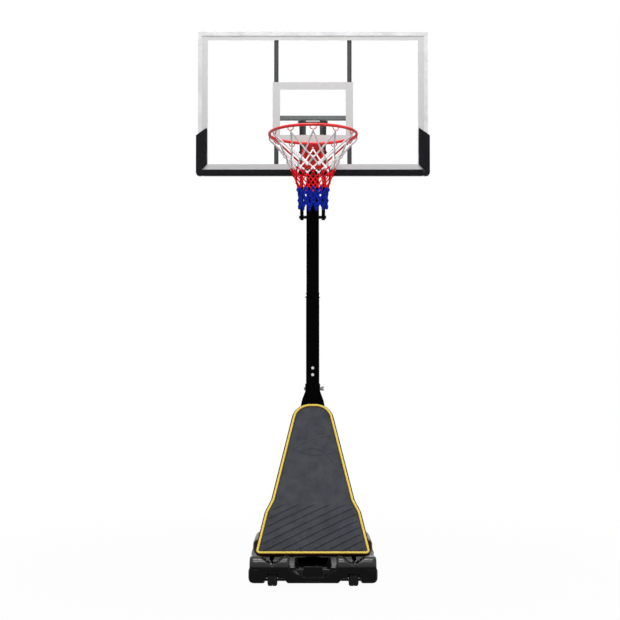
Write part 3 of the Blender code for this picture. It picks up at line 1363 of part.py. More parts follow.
def make_base(paint):
    tank_levels = (
        (0.0, TANK_FOOT_ROUND),
        (TANK_FOOT_ROUND, 0.0),
        (BASE_DECK_Z - BASE_EDGE, 0.0),
        (BASE_DECK_Z - BASE_EDGE / 4, BASE_EDGE / 2),
        (BASE_DECK_Z, 1.5 * BASE_EDGE),
    )
    tank = finish("base_tank", levels_shape(tank_outline, tank_levels), paint["base"])
    deck_levels = (
        (BASE_DECK_Z - DECK_ROOT, 0.0),
        (BASE_REAR_Z - DECK_ROUND, DECK_ROUND / 8),
        (BASE_REAR_Z - DECK_ROUND / 3, DECK_ROUND / 2),
        (BASE_REAR_Z, DECK_ROUND),
    )
    fuse(tank, levels_shape(deck_outline, deck_levels), "rear_body")
    for label, side in SIDES:
        fuse(tank, fender_shape(side), f"{label}_fender")
        add_foot_pocket(tank, side, label)
    collar = rounded(rectangle(PLINTH_HALF, -PLINTH_HALF, PLINTH_HALF), PLINTH_CORNER, FINE_STEPS)
    spread = PLINTH_HALF + PLINTH_FLARE
    root = rounded(rectangle(spread, -spread, spread), PLINTH_CORNER + PLINTH_FLARE, FINE_STEPS)
    fuse(tank, tapered_shape(root, collar, BASE_DECK_Z - DECK_ROOT, PLINTH_Z), "pole_plinth")
    cut_front(tank)
    cut_trough(tank)
    round_corners(tank)
    for label, side in SIDES:
        cut_wheel_well(tank, side, label)
        cut_vee(tank, side, label)
        cut_bores(tank, side, label)
    socket = rounded_square(POLE_SIDE + 2 * FIT, POLE_CORNER + FIT)
    carve(tank, prism(socket, "XY", POLE_SEAT_Z - FIT, PLINTH_Z + CUT_SPARE), "pole_socket")
    cut_rear(tank)
    make_wheels(paint)
    make_cap(paint, tank)


def add_foot_pocket(tank, side, label):
    """The pocket that a strut's foot stands in, with its fin."""
    x = sorted((side * (LUG_X - LUG_HALF - FOOT_POCKET_SIDE), side * (STRUT_FOOT_X + FOOT_POCKET_SIDE)))
    y = (-FOOT_AHEAD - FOOT_POCKET_REACH, -FOOT_AHEAD + FOOT_POCKET_REACH)
    carve(tank, block(x, y, (FOOT_POCKET_FLOOR, BASE_REAR_Z + CUT_SPARE)), f"{label}_foot_pocket")
    fuse(tank, lug_shape(side), f"{label}_lug")


def fender_shape(side):
    """The barrel that houses a wheel, with rounded ends."""
    rings = []
    for x, share in (
        (FENDER_INNER_X, FENDER_END_SHARE),
        (FENDER_INNER_X + FENDER_END / 2, 1.0),
        (FENDER_OUTER_X - FENDER_END, 1.0),
        (FENDER_OUTER_X, FENDER_END_SHARE),
    ):
        ring = circle(FENDER_RADIUS * share, FENDER_SIDES, (-FENDER_AHEAD, FENDER_Z))
        rings.append([(side * x, u, v) for u, v in ring])
    return loft(rings)


def lug_shape(side):
    """The upright fin that a strut's foot is bolted to."""
    low = (-FOOT_AHEAD + LUG_LEAN, FOOT_POCKET_FLOOR - LUG_RADIUS / 2)
    outline = stadium((-FOOT_AHEAD, FOOT_Z), low, LUG_RADIUS)
    return prism(outline, "YZ", *sorted((side * (LUG_X - LUG_HALF), side * (LUG_X + LUG_HALF))))


def cut_front(tank):
    """The raised lip, the wall set back under its bead, and the slot for the fingers."""
    rear = BASE_FRONT - LIP_SET_BACK - LIP_RUN
    outside = -BASE_FRONT - CUT_SPARE
    lip = [
        (-rear, -CUT_SPARE),
        (-rear, -FIT),
        (-BASE_FRONT + LIP_SET_BACK, LIP_Z),
        (outside, LIP_Z),
        (outside, -CUT_SPARE),
    ]
    carve(tank, prism(lip, "YZ", -BASE_WIDEST, BASE_WIDEST), "lip")
    half_wall = [(BASE_WIDEST, -CUT_SPARE), (BASE_WIDEST, BEAD_LINE[-1][1]), *BEAD_LINE[::-1]]
    wall = half_wall + [(-x, z) for x, z in reversed(half_wall)]
    wall_y = -BASE_FRONT + WALL_SET_BACK
    carve(tank, prism(wall, "XZ", outside, wall_y), "front_wall")
    thumb = [
        (outside, THUMB_Z),
        (wall_y - RUN, THUMB_Z),
        (wall_y + THUMB_DEPTH, THUMB_Z + THUMB_HEIGHT),
        (outside, THUMB_Z + THUMB_HEIGHT),
    ]
    carve(tank, prism(thumb, "YZ", -THUMB_HALF, THUMB_HALF), "thumb_slot")


def cut_trough(tank):
    """The dished middle with its ledge and plain block, the trough behind it and the bead in front."""
    ledge_rear = -LEDGE_AHEAD + LEDGE_WIDTH
    rings = [trough_ring(SMILE_FLAT, BEAD_LOW_Z + BEAD_RADIUS / 2, SMILE_WIDE, -BASE_FRONT - RUN)]
    for y in (-LEDGE_AHEAD, ledge_rear + TROUGH_CORNER):
        rings.append(trough_ring(LEDGE_HALF, LEDGE_Z, LEDGE_HALF + BEAD_RADIUS, y))
    carve(tank, loft(rings), "smile")
    floor = rectangle(TROUGH_HALF - TROUGH_TAPER, ledge_rear, -TROUGH_REAR)
    floor = rounded(floor, TROUGH_CORNER, FINE_STEPS)
    brim = rectangle(TROUGH_HALF, ledge_rear, -TROUGH_REAR + TROUGH_TAPER)
    brim = rounded(brim, TROUGH_CORNER, FINE_STEPS)
    carve(tank, tapered_shape(floor, brim, TROUGH_Z, FENDER_Z + FENDER_RADIUS), "trough")
    half_bead = [(x, -BASE_FRONT + BEAD_RADIUS, z) for x, z in BEAD_LINE[::-1]]
    bead = half_bead + [(-x, y, z) for x, y, z in reversed(half_bead)]
    fuse(tank, rod(bead, BEAD_RADIUS, BEAD_SIDES), "front_bead")
    plain = [
        (-LEDGE_AHEAD, BEAD_LOW_Z),
        (-LEDGE_AHEAD, BLOCK_TOP_Z - BLOCK_FALL),
        (-BASE_FRONT + WALL_SET_BACK, BLOCK_TOP_Z),
        (-BASE_FRONT + WALL_SET_BACK / 2, BEAD_LOW_Z),
    ]
    fuse(tank, prism(plain, "YZ", -BLOCK_HALF, BLOCK_HALF), "plain_block")


def trough_ring(flat, floor_z, wide, y):
    """A dish across the stand: a flat floor, sloping sides up to the deck, then upright sides."""
    right = [
        (flat, floor_z),
        (wide, BEAD_HIGH_Z + BEAD_RADIUS / 2),
        (SMILE_UPRIGHT, BEAD_HIGH_Z + BEAD_RADIUS),
        (SMILE_UPRIGHT, FENDER_Z + FENDER_RADIUS + CUT_SPARE),
    ]
    return [(x, y, z) for x, z in right] + [(-x, y, z) for x, z in reversed(right)]


def round_corners(tank):
    """Rounds the lower outer edges of the front, less and less towards the rear."""
    outside = -BASE_FRONT - CUT_SPARE
    centre_x = BASE_FRONT_HALF - CORNER_ROUND
    centre_z = LIP_Z + CORNER_ROUND
    for label, side in SIDES:
        rings = []
        for y, shift in (
            (outside, 0.0),
            (-BASE_FRONT + CORNER_FULL, 0.0),
            (-BASE_FRONT + CORNER_REACH, CORNER_ROUND),
        ):
            corner = [(BASE_WIDEST, -CUT_SPARE), (BASE_WIDEST, centre_z)]
            corner += arc((centre_x + shift, centre_z), CORNER_ROUND, 0.0, -90.0, CORNER_STEPS)
            corner += [(centre_x + shift, -CUT_SPARE)]
            rings.append([(side * x, y, z) for x, z in corner])
        carve(tank, loft(rings), f"{label}_corner")


def cut_wheel_well(tank, side, label):
    """The well over a wheel, the notch beside it and the bearings that hold its axle."""
    x = side * WHEEL_X
    half = WHEEL_WIDTH / 2 + WHEEL_SIDE_GAP
    reach = WHEEL_RADIUS + WHEEL_TOP_GAP
    outside = -BASE_FRONT - CUT_SPARE
    inner, outer = x - side * NOTCH_INNER, x + side * NOTCH_OUTER
    notch = [
        (inner - side * NOTCH_SLANT, -CUT_SPARE),
        (inner - side * NOTCH_SLANT, LIP_Z),
        (inner, NOTCH_TOP_Z),
        (outer, NOTCH_TOP_Z),
        (outer, -CUT_SPARE),
    ]
    carve(tank, prism(notch, "XZ", outside, -WHEEL_AHEAD + reach + NOTCH_REAR), f"{label}_notch")
    bearing = block(
        (x - half - BEARING_WIDTH, x + half + BEARING_WIDTH),
        (-WHEEL_AHEAD - BEARING_HALF, -WHEEL_AHEAD + BEARING_HALF),
        (WHEEL_Z - BEARING_HALF, NOTCH_TOP_Z + BEARING_HALF),
    )
    fuse(tank, bearing, f"{label}_bearing")
    arch = [(-WHEEL_AHEAD + reach, -CUT_SPARE)]
    arch += arc((-WHEEL_AHEAD, WHEEL_Z), reach, 0.0, 180.0 - WELL_MOUTH_DEG, ARCH_STEPS)
    arch += [(outside, arch[-1][1]), (outside, -CUT_SPARE)]
    carve(tank, prism(arch, "YZ", x - half, x + half), f"{label}_well")


def cut_vee(tank, side, label):
    """The V cut down into the barrel, back to the pocket of the strut's foot."""
    x = side * WHEEL_X
    high = FENDER_Z + FENDER_RADIUS + CUT_SPARE
    half = VEE_HALF * (high - VEE_APEX_Z) / (high - CUT_SPARE - VEE_APEX_Z)
    vee = [(x, VEE_APEX_Z), (x + half, high), (x - half, high)]
    rear = -FOOT_AHEAD - FOOT_POCKET_REACH / 2
    carve(tank, prism(vee, "XZ", -BASE_FRONT - CUT_SPARE, rear), f"{label}_vee")


def cut_bores(tank, side, label):
    for name, x, y, z, radius, reach in (
        ("axle", WHEEL_X, -WHEEL_AHEAD, WHEEL_Z, AXLE_RADIUS, AXLE_HALF + FIT),
        ("foot", LUG_X, -FOOT_AHEAD, FOOT_Z, PIN_RADIUS, LUG_HALF + FOOT_POCKET_SIDE / 2),
    ):
        bore = prism(circle(radius + FIT, HOLE_SIDES, (y, z)), "YZ", side * x - reach, side * x + reach)
        carve(tank, bore, f"{label}_{name}_bore")


def cut_rear(tank):
    """Shallow cross grooves in the rear body and one central channel."""
    for i in range(RIB_GROOVE_COUNT):
        y = GROOVE_FIRST_Y + GROOVE_PITCH * i
        for label, side in SIDES:
            x = sorted((side * GROOVE_INNER_X, side * GROOVE_OUTER_X))
            corners = [(x[0], y), (x[1], y), (x[1], y + GROOVE_WIDTH), (x[0], y + GROOVE_WIDTH)]
            groove = rounded(corners, GROOVE_WIDTH / 2 - RUN, FINE_STEPS)
            cut = prism(groove, "XY", BASE_REAR_Z - RIB_GROOVE_DEPTH, BASE_REAR_Z + CUT_SPARE)
            carve(tank, cut, f"{label}_groove_{i}")
    floor = rectangle(CHANNEL_HALF, CHANNEL_FROM_Y, -BASE_REAR + CUT_SPARE)
    floor = rounded(floor, CHANNEL_CORNER, FINE_STEPS)
    spread = CHANNEL_HALF + CHANNEL_FLARE
    low_y, high_y = CHANNEL_FROM_Y - CHANNEL_FLARE, -BASE_REAR + CUT_SPARE + CHANNEL_FLARE
    brim = rounded(rectangle(spread, low_y, high_y), CHANNEL_CORNER, FINE_STEPS)
    carve(tank, tapered_shape(floor, brim, BASE_DECK_Z + BASE_EDGE, BASE_REAR_Z + CHANNEL_FLARE), "channel")


def make_wheels(paint):
    half = WHEEL_WIDTH / 2
    side = [
        (half, AXLE_RADIUS + RUN),
        (half, WHEEL_HUB),
        (half - WHEEL_DISH, WHEEL_HUB + WHEEL_BEVEL / 2),
        (half - WHEEL_DISH, WHEEL_RADIUS - WHEEL_TYRE),
        (half, WHEEL_RADIUS - WHEEL_TYRE + WHEEL_BEVEL / 2),
        (half - WHEEL_BEVEL, WHEEL_RADIUS),
    ]
    profile = side + [(-x, r) for x, r in reversed(side)]
    for label, sign in SIDES:
        centre = at(sign * WHEEL_X, WHEEL_AHEAD, WHEEL_Z)
        rings = []
        steps = 4 * WHEEL_LUGS
        for i in range(steps):
            angle = 2 * math.pi * i / steps
            dent = WHEEL_LUG_DEPTH if i % 4 > 1 else 0.0
            ring = []
            for u, r in profile:
                radius = r - dent if r == WHEEL_RADIUS else r
                ring.append((u, radius * math.cos(angle), radius * math.sin(angle)))
            rings.append(ring)
        finish(f"wheel_{label}", loft(rings, closed=True), paint["tyre"], None, centre)
        axle = pin_shape([(-AXLE_HALF, AXLE_RADIUS, False), (AXLE_HALF, AXLE_RADIUS, False)])
        finish(f"wheel_axle_{label}", axle, paint["zinc"], None, centre)


def make_cap(paint, tank):
    """The threaded filler cap in its low boss."""
    top = BASE_REAR_Z + CAP_BOSS
    rings = []
    for radius, z in ((CAP_RADIUS + 1.5 * CAP_RIM, BASE_REAR_Z - DECK_ROOT), (CAP_RADIUS + CAP_RIM, top)):
        rings.append([(u, v, z) for u, v in circle(radius, CAP_BOSS_SIDES, (CAP_X, -CAP_AHEAD))])
    fuse(tank, loft(rings), "cap_boss")
    neck = circle(CAP_NECK + RUN, CAP_BOSS_SIDES, (CAP_X, -CAP_AHEAD))
    carve(tank, prism(neck, "XY", top - CAP_WELL, top + CUT_SPARE), "cap_well")
    rings = []
    for radius, z, ribbed in (
        (CAP_NECK - RUN, -CAP_WELL + 2 * RUN, False),
        (CAP_NECK - RUN, FIT, False),
        (CAP_RADIUS, FIT, True),
        (CAP_RADIUS, CAP_HEIGHT - CAP_EDGE, True),
        (CAP_RADIUS - CAP_EDGE, CAP_HEIGHT, False),
    ):
        ring = []
        for i in range(CAP_STEPS):
            angle = 2 * math.pi * i / CAP_STEPS
            grown = radius - (CAP_RIB_DEPTH if ribbed and i % 4 > 1 else 0.0)
            ring.append((grown * math.cos(angle), grown * math.sin(angle), z))
        rings.append(ring)
    cap = finish("filler_cap", loft(rings), paint["cap"], None, at(CAP_X, CAP_AHEAD, top))
    bar_y = (-CAP_NECK, CAP_NECK)
    bar = block((-CAP_BAR_HALF, CAP_BAR_HALF), bar_y, (CAP_HEIGHT - CAP_EDGE, CAP_HEIGHT + CAP_BAR_HEIGHT))
    fuse(cap, bar, "finger_bar")


def main():
    clear_scene()
    paint = make_materials()
    make_base(paint)
    make_pole(paint)
    make_arms(paint)
    make_adjuster(paint)
    make_backboard(paint)
    make_panel(paint)


main()
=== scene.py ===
import json
import math

import bmesh
import bpy
import numpy as np
from mathutils import Matrix, Vector, noise


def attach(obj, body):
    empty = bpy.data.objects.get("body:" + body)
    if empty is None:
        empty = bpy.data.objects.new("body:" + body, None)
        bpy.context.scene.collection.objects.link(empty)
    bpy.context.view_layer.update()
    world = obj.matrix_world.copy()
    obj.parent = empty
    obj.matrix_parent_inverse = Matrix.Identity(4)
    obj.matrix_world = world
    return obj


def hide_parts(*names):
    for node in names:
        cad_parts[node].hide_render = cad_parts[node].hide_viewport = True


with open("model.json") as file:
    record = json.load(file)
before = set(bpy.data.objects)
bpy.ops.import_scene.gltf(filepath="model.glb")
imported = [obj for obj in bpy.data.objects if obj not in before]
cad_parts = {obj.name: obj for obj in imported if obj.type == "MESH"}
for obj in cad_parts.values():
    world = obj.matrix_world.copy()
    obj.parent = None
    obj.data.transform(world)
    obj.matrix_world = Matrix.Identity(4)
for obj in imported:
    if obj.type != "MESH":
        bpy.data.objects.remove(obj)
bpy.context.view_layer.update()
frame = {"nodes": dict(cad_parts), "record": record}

NODES = frame["nodes"]

# Lengths are in metres and angles in radians, unless a name ends otherwise.

# Camera, fitted to the photograph
IMAGE_SIDE = 620
FOCAL_PX = 1113.0
CAMERA_X = -0.0164
CAMERA_DISTANCE = 6.813
CAMERA_HEIGHT = 1.147
CAMERA_PITCH_DEG = 1.31
CAMERA_SHIFT_Y = 0.0694
CLIP_END = 60.0
SENSOR_MM = 36.0

# For every piece
CLEARANCE = 0.0003
NODE_SHARP_DEG = 36.0
NOISE_RANGE = (0.3, 0.7)
NOUGHT = 1e-12
ROUND_SIDES = 24

# Front panel, drawn in a plane that leans back against the pole
PANEL_SLOPE = math.radians(60.2)
PANEL_PIVOT_Z = 1.085
PANEL_PLACE = Matrix.Translation((0.0, 0.0, PANEL_PIVOT_Z)) @ Matrix.Rotation(PANEL_SLOPE, 4, "X")
PANEL_SIDES = ((0.3135, -1.075), (0.2621, -0.831), (0.2272, -0.757), (0.0948, -0.140))
PANEL_RADII = (0.014, 0.030, 0.030, 0.098)
PANEL_EDGE = 0.014
PANEL_ARC_STEPS = 8

# Padded cover. Each of its sides' rings is (in from the panel's edge, above the rim),
# each rise of its crown is (share of the height, distance from the piping).
COVER_BACK = 0.0251
COVER_RIM = 0.0431
COVER_SKIN = 0.001
COVER_ROWS = 140
COVER_COLUMNS = 72
ROW_MARGIN = 0.0004
COVER_SIDES = ((0.004, 0.0), (0.0, -0.004), (0.0, -0.014), (0.003, COVER_BACK - COVER_RIM))
COVER_WELD = 0.00005
COVER_VOXEL = 0.005
COVER_CROWN = 0.010
EDGE_ROLL = 0.030
CROWN_RISES = ((0.55, EDGE_ROLL), (0.45, 0.13))
CROWN_BEFORE_SWELL = 0.45
SWELL_CAP = 0.006
SWELL_FRAMES = 20
SWELL_FADE = 0.020
PINNED_MARGIN = 0.008
CLOTH = {
    "quality": 6, "mass": 0.4, "use_pressure": True, "uniform_pressure_force": 4.0,
    "tension_stiffness": 30.0, "compression_stiffness": 20.0, "shear_stiffness": 10.0,
    "bending_stiffness": 2.0,
}

# What is sewn into the cover. Each seam is (bend, turn in degrees, half length).
RELIEF_FROM = 0.003
RIB_START = 0.775
RIB_FADE = 0.02
RIB_ENDS = (0.004, 0.022)
RIB_PITCH = 0.040
RIB_HEIGHT = 0.0060
RIB_SHARE = 0.11
RIB_SLOPE = math.radians(27.0)
SEAM_HEIGHT = 0.0030
SEAM_HALF = 0.0034
SEAM_STEPS = 24
SEAM_FIRST = (0.012, -0.385)
SEAM_PITCH = 0.050
SEAMS = ((0.16, 20.0, 0.115), (-0.30, -4.0, 0.125), (0.55, -16.0, 0.10))
GROOVE_DEPTH = 0.0030
GROOVE_HALF = 0.004
UNEVEN_HEIGHT = 0.0012
UNEVEN_SCALE = 9
UNEVEN_LAYER = 3.0

# Piping
TRIM_HALF = 0.0074
TRIM_HEIGHT = 0.0070
TRIM_FLATTENING = 0.75
TRIM_SIDES = 12
# The bead's outermost sides take the dark edge colour, painted shade under the bead.
TRIM_DARK_SIDES = 2
TRIM_ARC_STEPS = 16

# Struts. Each station is (down the slope from the bolt, share of flatness, share of width);
# those of the tail are measured from the foot's hole, and the bare ones are plain tube.
POLE_HALF = 0.0405
STRUT_RADIUS = 0.0125
STRUT_FLAT = 0.0026
STRUT_FLAT_WIDTH = 0.018
STRUT_SQUARE = 0.55
STRUT_LINE = ((0.025, 0.0434), (0.085, 0.0540), (1.099, 0.232))
STRUT_FOOT = 1.128
STRUT_HUG_UNTIL = 0.135
STRUT_ROUND_FROM = 0.270
STRUT_PRESS = 0.0003
STRUT_HEAD = (
    (-0.030, 1.0, 0.55), (-0.0225, 1.0, 0.88), (-0.009, 1.0, 1.0), (0.025, 1.0, 1.0),
    (0.040, 0.75, 1.0), (0.055, 0.45, 1.0), (0.070, 0.18, 1.0), (0.085, 0.0, 1.0),
)
STRUT_TUBE = (0.105, 0.135, 0.165, 0.185, 0.205, 0.225, 0.245, 0.270, 0.50, 0.80, 1.060)
STRUT_TAIL = (
    (-0.029, 0.0, 1.0), (-0.0265, 0.3, 1.0), (-0.024, 0.6, 1.0), (-0.0215, 0.85, 1.0),
    (-0.019, 1.0, 1.0), (0.0063, 1.0, 1.0), (0.0158, 1.0, 0.88), (0.021, 1.0, 0.55),
)

# Bolt through the struts' top ends. The nut is (along from its seat, radius),
# its ears are (out from the bolt, along from the seat), with a radius for each corner.
BOLT_GRIP = 0.0463
BOLT_RADIUS = 0.0060
DRILL_REACH = 0.3
HEX_RADIUS = 0.0095
HEX_HEIGHT = 0.007
HEX_CHAMFER = 0.001
NUT_PROFILE = (
    (0.0, 0.0098), (0.003, 0.0094), (0.010, 0.0070), (0.011, 0.0060), (0.011, 0.0042), (0.016, 0.0038),
)
EAR_CORNERS = (
    (0.004, 0.0010), (0.0115, 0.0015), (0.0165, 0.0070), (0.0185, 0.0150),
    (0.0165, 0.0230), (0.0105, 0.0240), (0.0070, 0.0190), (0.0040, 0.0120),
)
EAR_RADII = (0.0008, 0.0015, 0.004, 0.0025, 0.0025, 0.0025, 0.004, 0.0008)
EAR_ARC_STEPS = 4
EAR_HALF = 0.0026
EAR_TILT = math.radians(54.0)

# Wheels. A side's section is (in from the side, radius), the groove's (from the middle, depth).
WHEEL_X = 0.224
WHEEL_AHEAD = 0.635
WHEEL_Z = 0.047
WHEEL_RADIUS = 0.046
WHEEL_HALF = 0.027
AXLE_BORE = 0.0064
SPOKES = 5
SPOKE_SINK = 0.008
SPOKE_RISE = 0.0045
WHEEL_SIDE = (
    (0.0, AXLE_BORE), (0.0, 0.0125), (0.001, 0.0140), (SPOKE_SINK, 0.0155), (SPOKE_SINK, 0.0300),
    (0.001, 0.0315), (0.0, 0.0330), (0.0015, 0.0400), (0.005, 0.0445), (0.009, WHEEL_RADIUS),
)
WHEEL_GROOVE = ((0.0022, 0.0), (0.0012, 0.003))
TREAD_LUGS = 18
TREAD_DEPTH = 0.0024
LUG_STEPS = 8

# Rim
RIM_Z = 2.450
RIM_AHEAD = 0.900
RING_RADIUS = 0.233
RING_STEPS = 120
ROD_RADIUS = 0.008
ROD_SIDES = 16
HOOKS = 12
HOOK_WIRE = 0.0025
HOOK_SIDES = 8
HOOK_STEPS = 14
HOOK_SPAN = 0.034
HOOK_TOP = 0.55 * ROD_RADIUS
HOOK_DROP = 0.016 + 0.45 * ROD_RADIUS
HOOK_BOW = 0.7
HOOK_WELD = 1.6 * HOOK_WIRE
HOOK_WELD_SINK = 0.002

# Net. A row of knots is (below the rim, radius), a knot's section is (along, radius) in knot sizes.
MESH_ANGLE = 2 * math.pi / HOOKS
CORD_RADIUS = 0.0027
CORD_SIDES = 6
WHITE_CORD = 0.0044
RED_CORD = 0.0038
BLUE_CORD = 0.0050
WHITE_ROWS = ((0.0317, 0.230), (0.112, 0.158), (0.150, 0.136), (0.184, 0.119))
RED_ROWS = ((0.190, 0.119), (0.222, 0.104), (0.257, 0.091), (0.290, 0.081))
BLUE_ROWS = ((0.298, 0.081), (0.322, 0.0765), (0.355, 0.075), (0.390, 0.0755))
LEG_STEPS = 6
KNOT = ((-1.0, 0.30), (-0.6, 0.72), (0.0, 0.88), (0.6, 0.72), (1.0, 0.30))
KNOT_SIDES = 8
KNOT_SIZE = 2.0
LOOP_STEPS = 12
LOOP_HALF_HEIGHT = 0.0052
LOOP_HALF_WIDTH = 0.0050
LOOP_CORD = 0.85 * CORD_RADIUS

# Tank skin, with extra rounding on the front housings
TANK_VOXEL = 0.0030
TANK_SMOOTH = 6
TANK_KEPT = 0.45
TANK_GRAIN = 0.03
HOUSING_AHEAD = 0.560
HOUSING_Z = 0.080
HOUSING_X = 0.120
HOUSING_FADE = 0.018
HOUSING_SMOOTH = 26
POLISH_Z = (0.108, 0.120)

# Foam pads
PAD_VOXEL = 0.0022
PAD_SMOOTH = 5
PAD_KEPT = 0.3
PAD_DIMPLE = 0.0005
PAD_DIMPLE_SCALE = 14.0

# Stage and light. Each lamp is (name, place, target, size, watts).
WORLD_LIGHT = 0.30
FLOOR_REACH = 14.0
FLOOR_GREY = (0.50, 0.50, 0.50, 1.0)
FLOOR_GLOW = 0.965
SHADOW_NEAR = 1.0
SHADOW_FAR = 3.2
LAMPS = (
    ("key", (-0.3, -4.4, 5.0), (0.0, -0.6, 0.9), (1.0, 0.9), 79.0),
    ("fill", (3.6, -5.2, 3.4), (0.0, 0.0, 1.6), (3.5, 3.5), 32.0),
    ("top", (0.0, -1.6, 6.2), (0.0, -0.5, 0.6), (2.2, 1.1), 165.0),
    ("rear", (1.5, 5.5, 4.2), (0.0, 0.0, 1.6), (3.5, 3.0), 85.0),
)


def new_object(name, data):
    made = bpy.data.objects.new(name, data)
    bpy.context.scene.collection.objects.link(made)
    return made


def make_camera():
    data = bpy.data.cameras.new("camera")
    data.sensor_width = SENSOR_MM
    data.lens = FOCAL_PX / IMAGE_SIDE * SENSOR_MM
    data.shift_y = CAMERA_SHIFT_Y
    data.clip_end = CLIP_END
    camera = new_object("camera", data)
    camera.location = (CAMERA_X, -CAMERA_DISTANCE, CAMERA_HEIGHT)
    camera.rotation_euler = (math.radians(90.0 + CAMERA_PITCH_DEG), 0.0, 0.0)
    bpy.context.scene.camera = camera


def math_node(tree, operation, first, second):
    made = tree.nodes.new("ShaderNodeMath")
    made.operation = operation
    tree.links.new(first, made.inputs[0])
    tree.links.new(second, made.inputs[1])
    return made.outputs[0]


def range_node(tree, source, low, high, low_in=0.0, high_in=1.0):
    made = tree.nodes.new("ShaderNodeMapRange")
    limits = {"From Min": low_in, "From Max": high_in, "To Min": low, "To Max": high}
    for socket, value in limits.items():
        made.inputs[socket].default_value = value
    tree.links.new(source, made.inputs["Value"])
    return made.outputs["Result"]


class Material:
    """Builds one procedural material, with plain numbers set on the shader itself."""

    def __init__(self, name, roughness, metallic=0.0, **sockets):
        self.made = bpy.data.materials.new(name)
        self.made.use_nodes = True
        self.tree = self.made.node_tree
        self.shader = self.tree.nodes["Principled BSDF"]
        self.shader.inputs["Roughness"].default_value = roughness
        self.shader.inputs["Metallic"].default_value = metallic
        for socket, value in sockets.items():
            self.shader.inputs[socket.replace("_", " ")].default_value = value
        self.height = None

    def node(self, kind, **values):
        made = self.tree.nodes.new(kind)
        for key, value in values.items():
            setattr(made, key, value)
        return made

    def link(self, source, target):
        self.tree.links.new(source, target)

    def coordinates(self, output="Object", scale=(1.0, 1.0, 1.0), turn=(0.0, 0.0, 0.0)):
        place = self.node("ShaderNodeTexCoord")
        mapping = self.node("ShaderNodeMapping")
        mapping.inputs["Scale"].default_value = scale
        mapping.inputs["Rotation"].default_value = turn
        self.link(place.outputs[output], mapping.inputs["Vector"])
        return mapping.outputs["Vector"]

    def texture(self, kind, vector, output, inputs, **values):
        made = self.node(kind, **values)
        for socket, value in inputs.items():
            made.inputs[socket].default_value = value
        self.link(vector or self.coordinates(), made.inputs["Vector"])
        return made.outputs[output]

    def noise(self, scale, detail=3.0, vector=None):
        return self.texture("ShaderNodeTexNoise", vector, "Fac", {"Scale": scale, "Detail": detail})

    def cells(self, scale, vector=None):
        return self.texture("ShaderNodeTexVoronoi", vector, "Distance", {"Scale": scale})

    def bands(self, scale, vector, distortion=0.0, direction="X"):
        inputs = {"Scale": scale, "Distortion": distortion}
        return self.texture("ShaderNodeTexWave", vector, "Fac", inputs, bands_direction=direction)

    def ramp(self, source, stops):
        """Colours the shader by a ramp of (place, colour) stops."""
        made = self.node("ShaderNodeValToRGB")
        ramp = made.color_ramp
        while len(ramp.elements) < len(stops):
            ramp.elements.new(0.5)
        for element, (place, colour) in zip(ramp.elements, stops):
            element.position = place
            element.color = (*colour, 1.0)
        self.link(source, made.inputs["Fac"])
        self.link(made.outputs["Color"], self.shader.inputs["Base Color"])

    def drift(self, source, colour, shares, stops):
        """Lets the colour drift between two shares of itself."""
        shades = [tuple(min(1.0, c * share) for c in colour) for share in shares]
        self.ramp(source, list(zip(stops, shades)))

    def vary_roughness(self, source, low, high):
        spread = range_node(self.tree, source, low, high, *NOISE_RANGE)
        self.link(spread, self.shader.inputs["Roughness"])

    def bump(self, source, strength, distance):
        """Adds a layer of bump on the layers before it."""
        made = self.node("ShaderNodeBump")
        made.inputs["Strength"].default_value = strength
        made.inputs["Distance"].default_value = distance
        self.link(source, made.inputs["Height"])
        if self.height is not None:
            self.link(self.height, made.inputs["Normal"])
        self.height = made.outputs["Normal"]
        self.link(self.height, self.shader.inputs["Normal"])


def moulded_plastic(name, colour, roughness, grain=900.0, gloss=0.14, relief=0.22):
    """Blow-moulded plastic: fine pebbled grain, soft sheen and a few dry scuffs."""
    made = Material(name, roughness, Specular_IOR_Level=gloss)
    made.drift(made.noise(9.0, detail=5.0), colour, shares=(0.75, 1.45), stops=(0.35, 0.68))
    made.vary_roughness(made.noise(28.0, detail=4.0), roughness - 0.07, roughness + 0.10)
    made.bump(made.noise(6.0, detail=2.0), strength=0.25, distance=0.004)
    made.bump(made.cells(grain), strength=relief, distance=0.0006)
    return made


def tank_plastic(name, colour, roughness, gloss, polish):
    """The tank's plastic, moulded smooth and shiny on the upper half of its front housings."""
    made = moulded_plastic(name, colour, roughness, gloss=gloss, relief=TANK_GRAIN)
    place = made.node("ShaderNodeTexCoord")
    split = made.node("ShaderNodeSeparateXYZ")
    made.link(place.outputs["Object"], split.inputs[0])
    front = -HOUSING_AHEAD
    ahead = range_node(made.tree, split.outputs["Y"], 0.0, 1.0, front, front - HOUSING_FADE)
    above = range_node(made.tree, split.outputs["Z"], 0.0, 1.0, *POLISH_Z)
    both = math_node(made.tree, "MULTIPLY", ahead, above)
    level = range_node(made.tree, both, gloss, polish)
    made.link(level, made.shader.inputs["Specular IOR Level"])
    return made


def powder_coat(name, colour, roughness, grain=1600.0, gloss=0.5):
    """Baked powder paint: orange peel with slight colour drift."""
    made = Material(name, roughness, Specular_IOR_Level=gloss)
    made.drift(made.noise(14.0), colour, shares=(0.88, 1.12), stops=(0.3, 0.7))
    made.vary_roughness(made.noise(60.0), roughness - 0.05, roughness + 0.08)
    made.bump(made.noise(grain, detail=2.0), strength=0.16, distance=0.0004)
    return made


def plated_metal(name, colour, roughness):
    """Zinc plating: cloudy spangle and turning marks."""
    made = Material(name, roughness, metallic=1.0)
    made.drift(made.cells(420.0), colour, shares=(1.12, 0.78), stops=(0.1, 0.8))
    made.vary_roughness(made.noise(240.0, detail=4.0), roughness - 0.08, roughness + 0.14)
    made.bump(made.noise(1800.0, detail=2.0), strength=0.12, distance=0.0003)
    return made


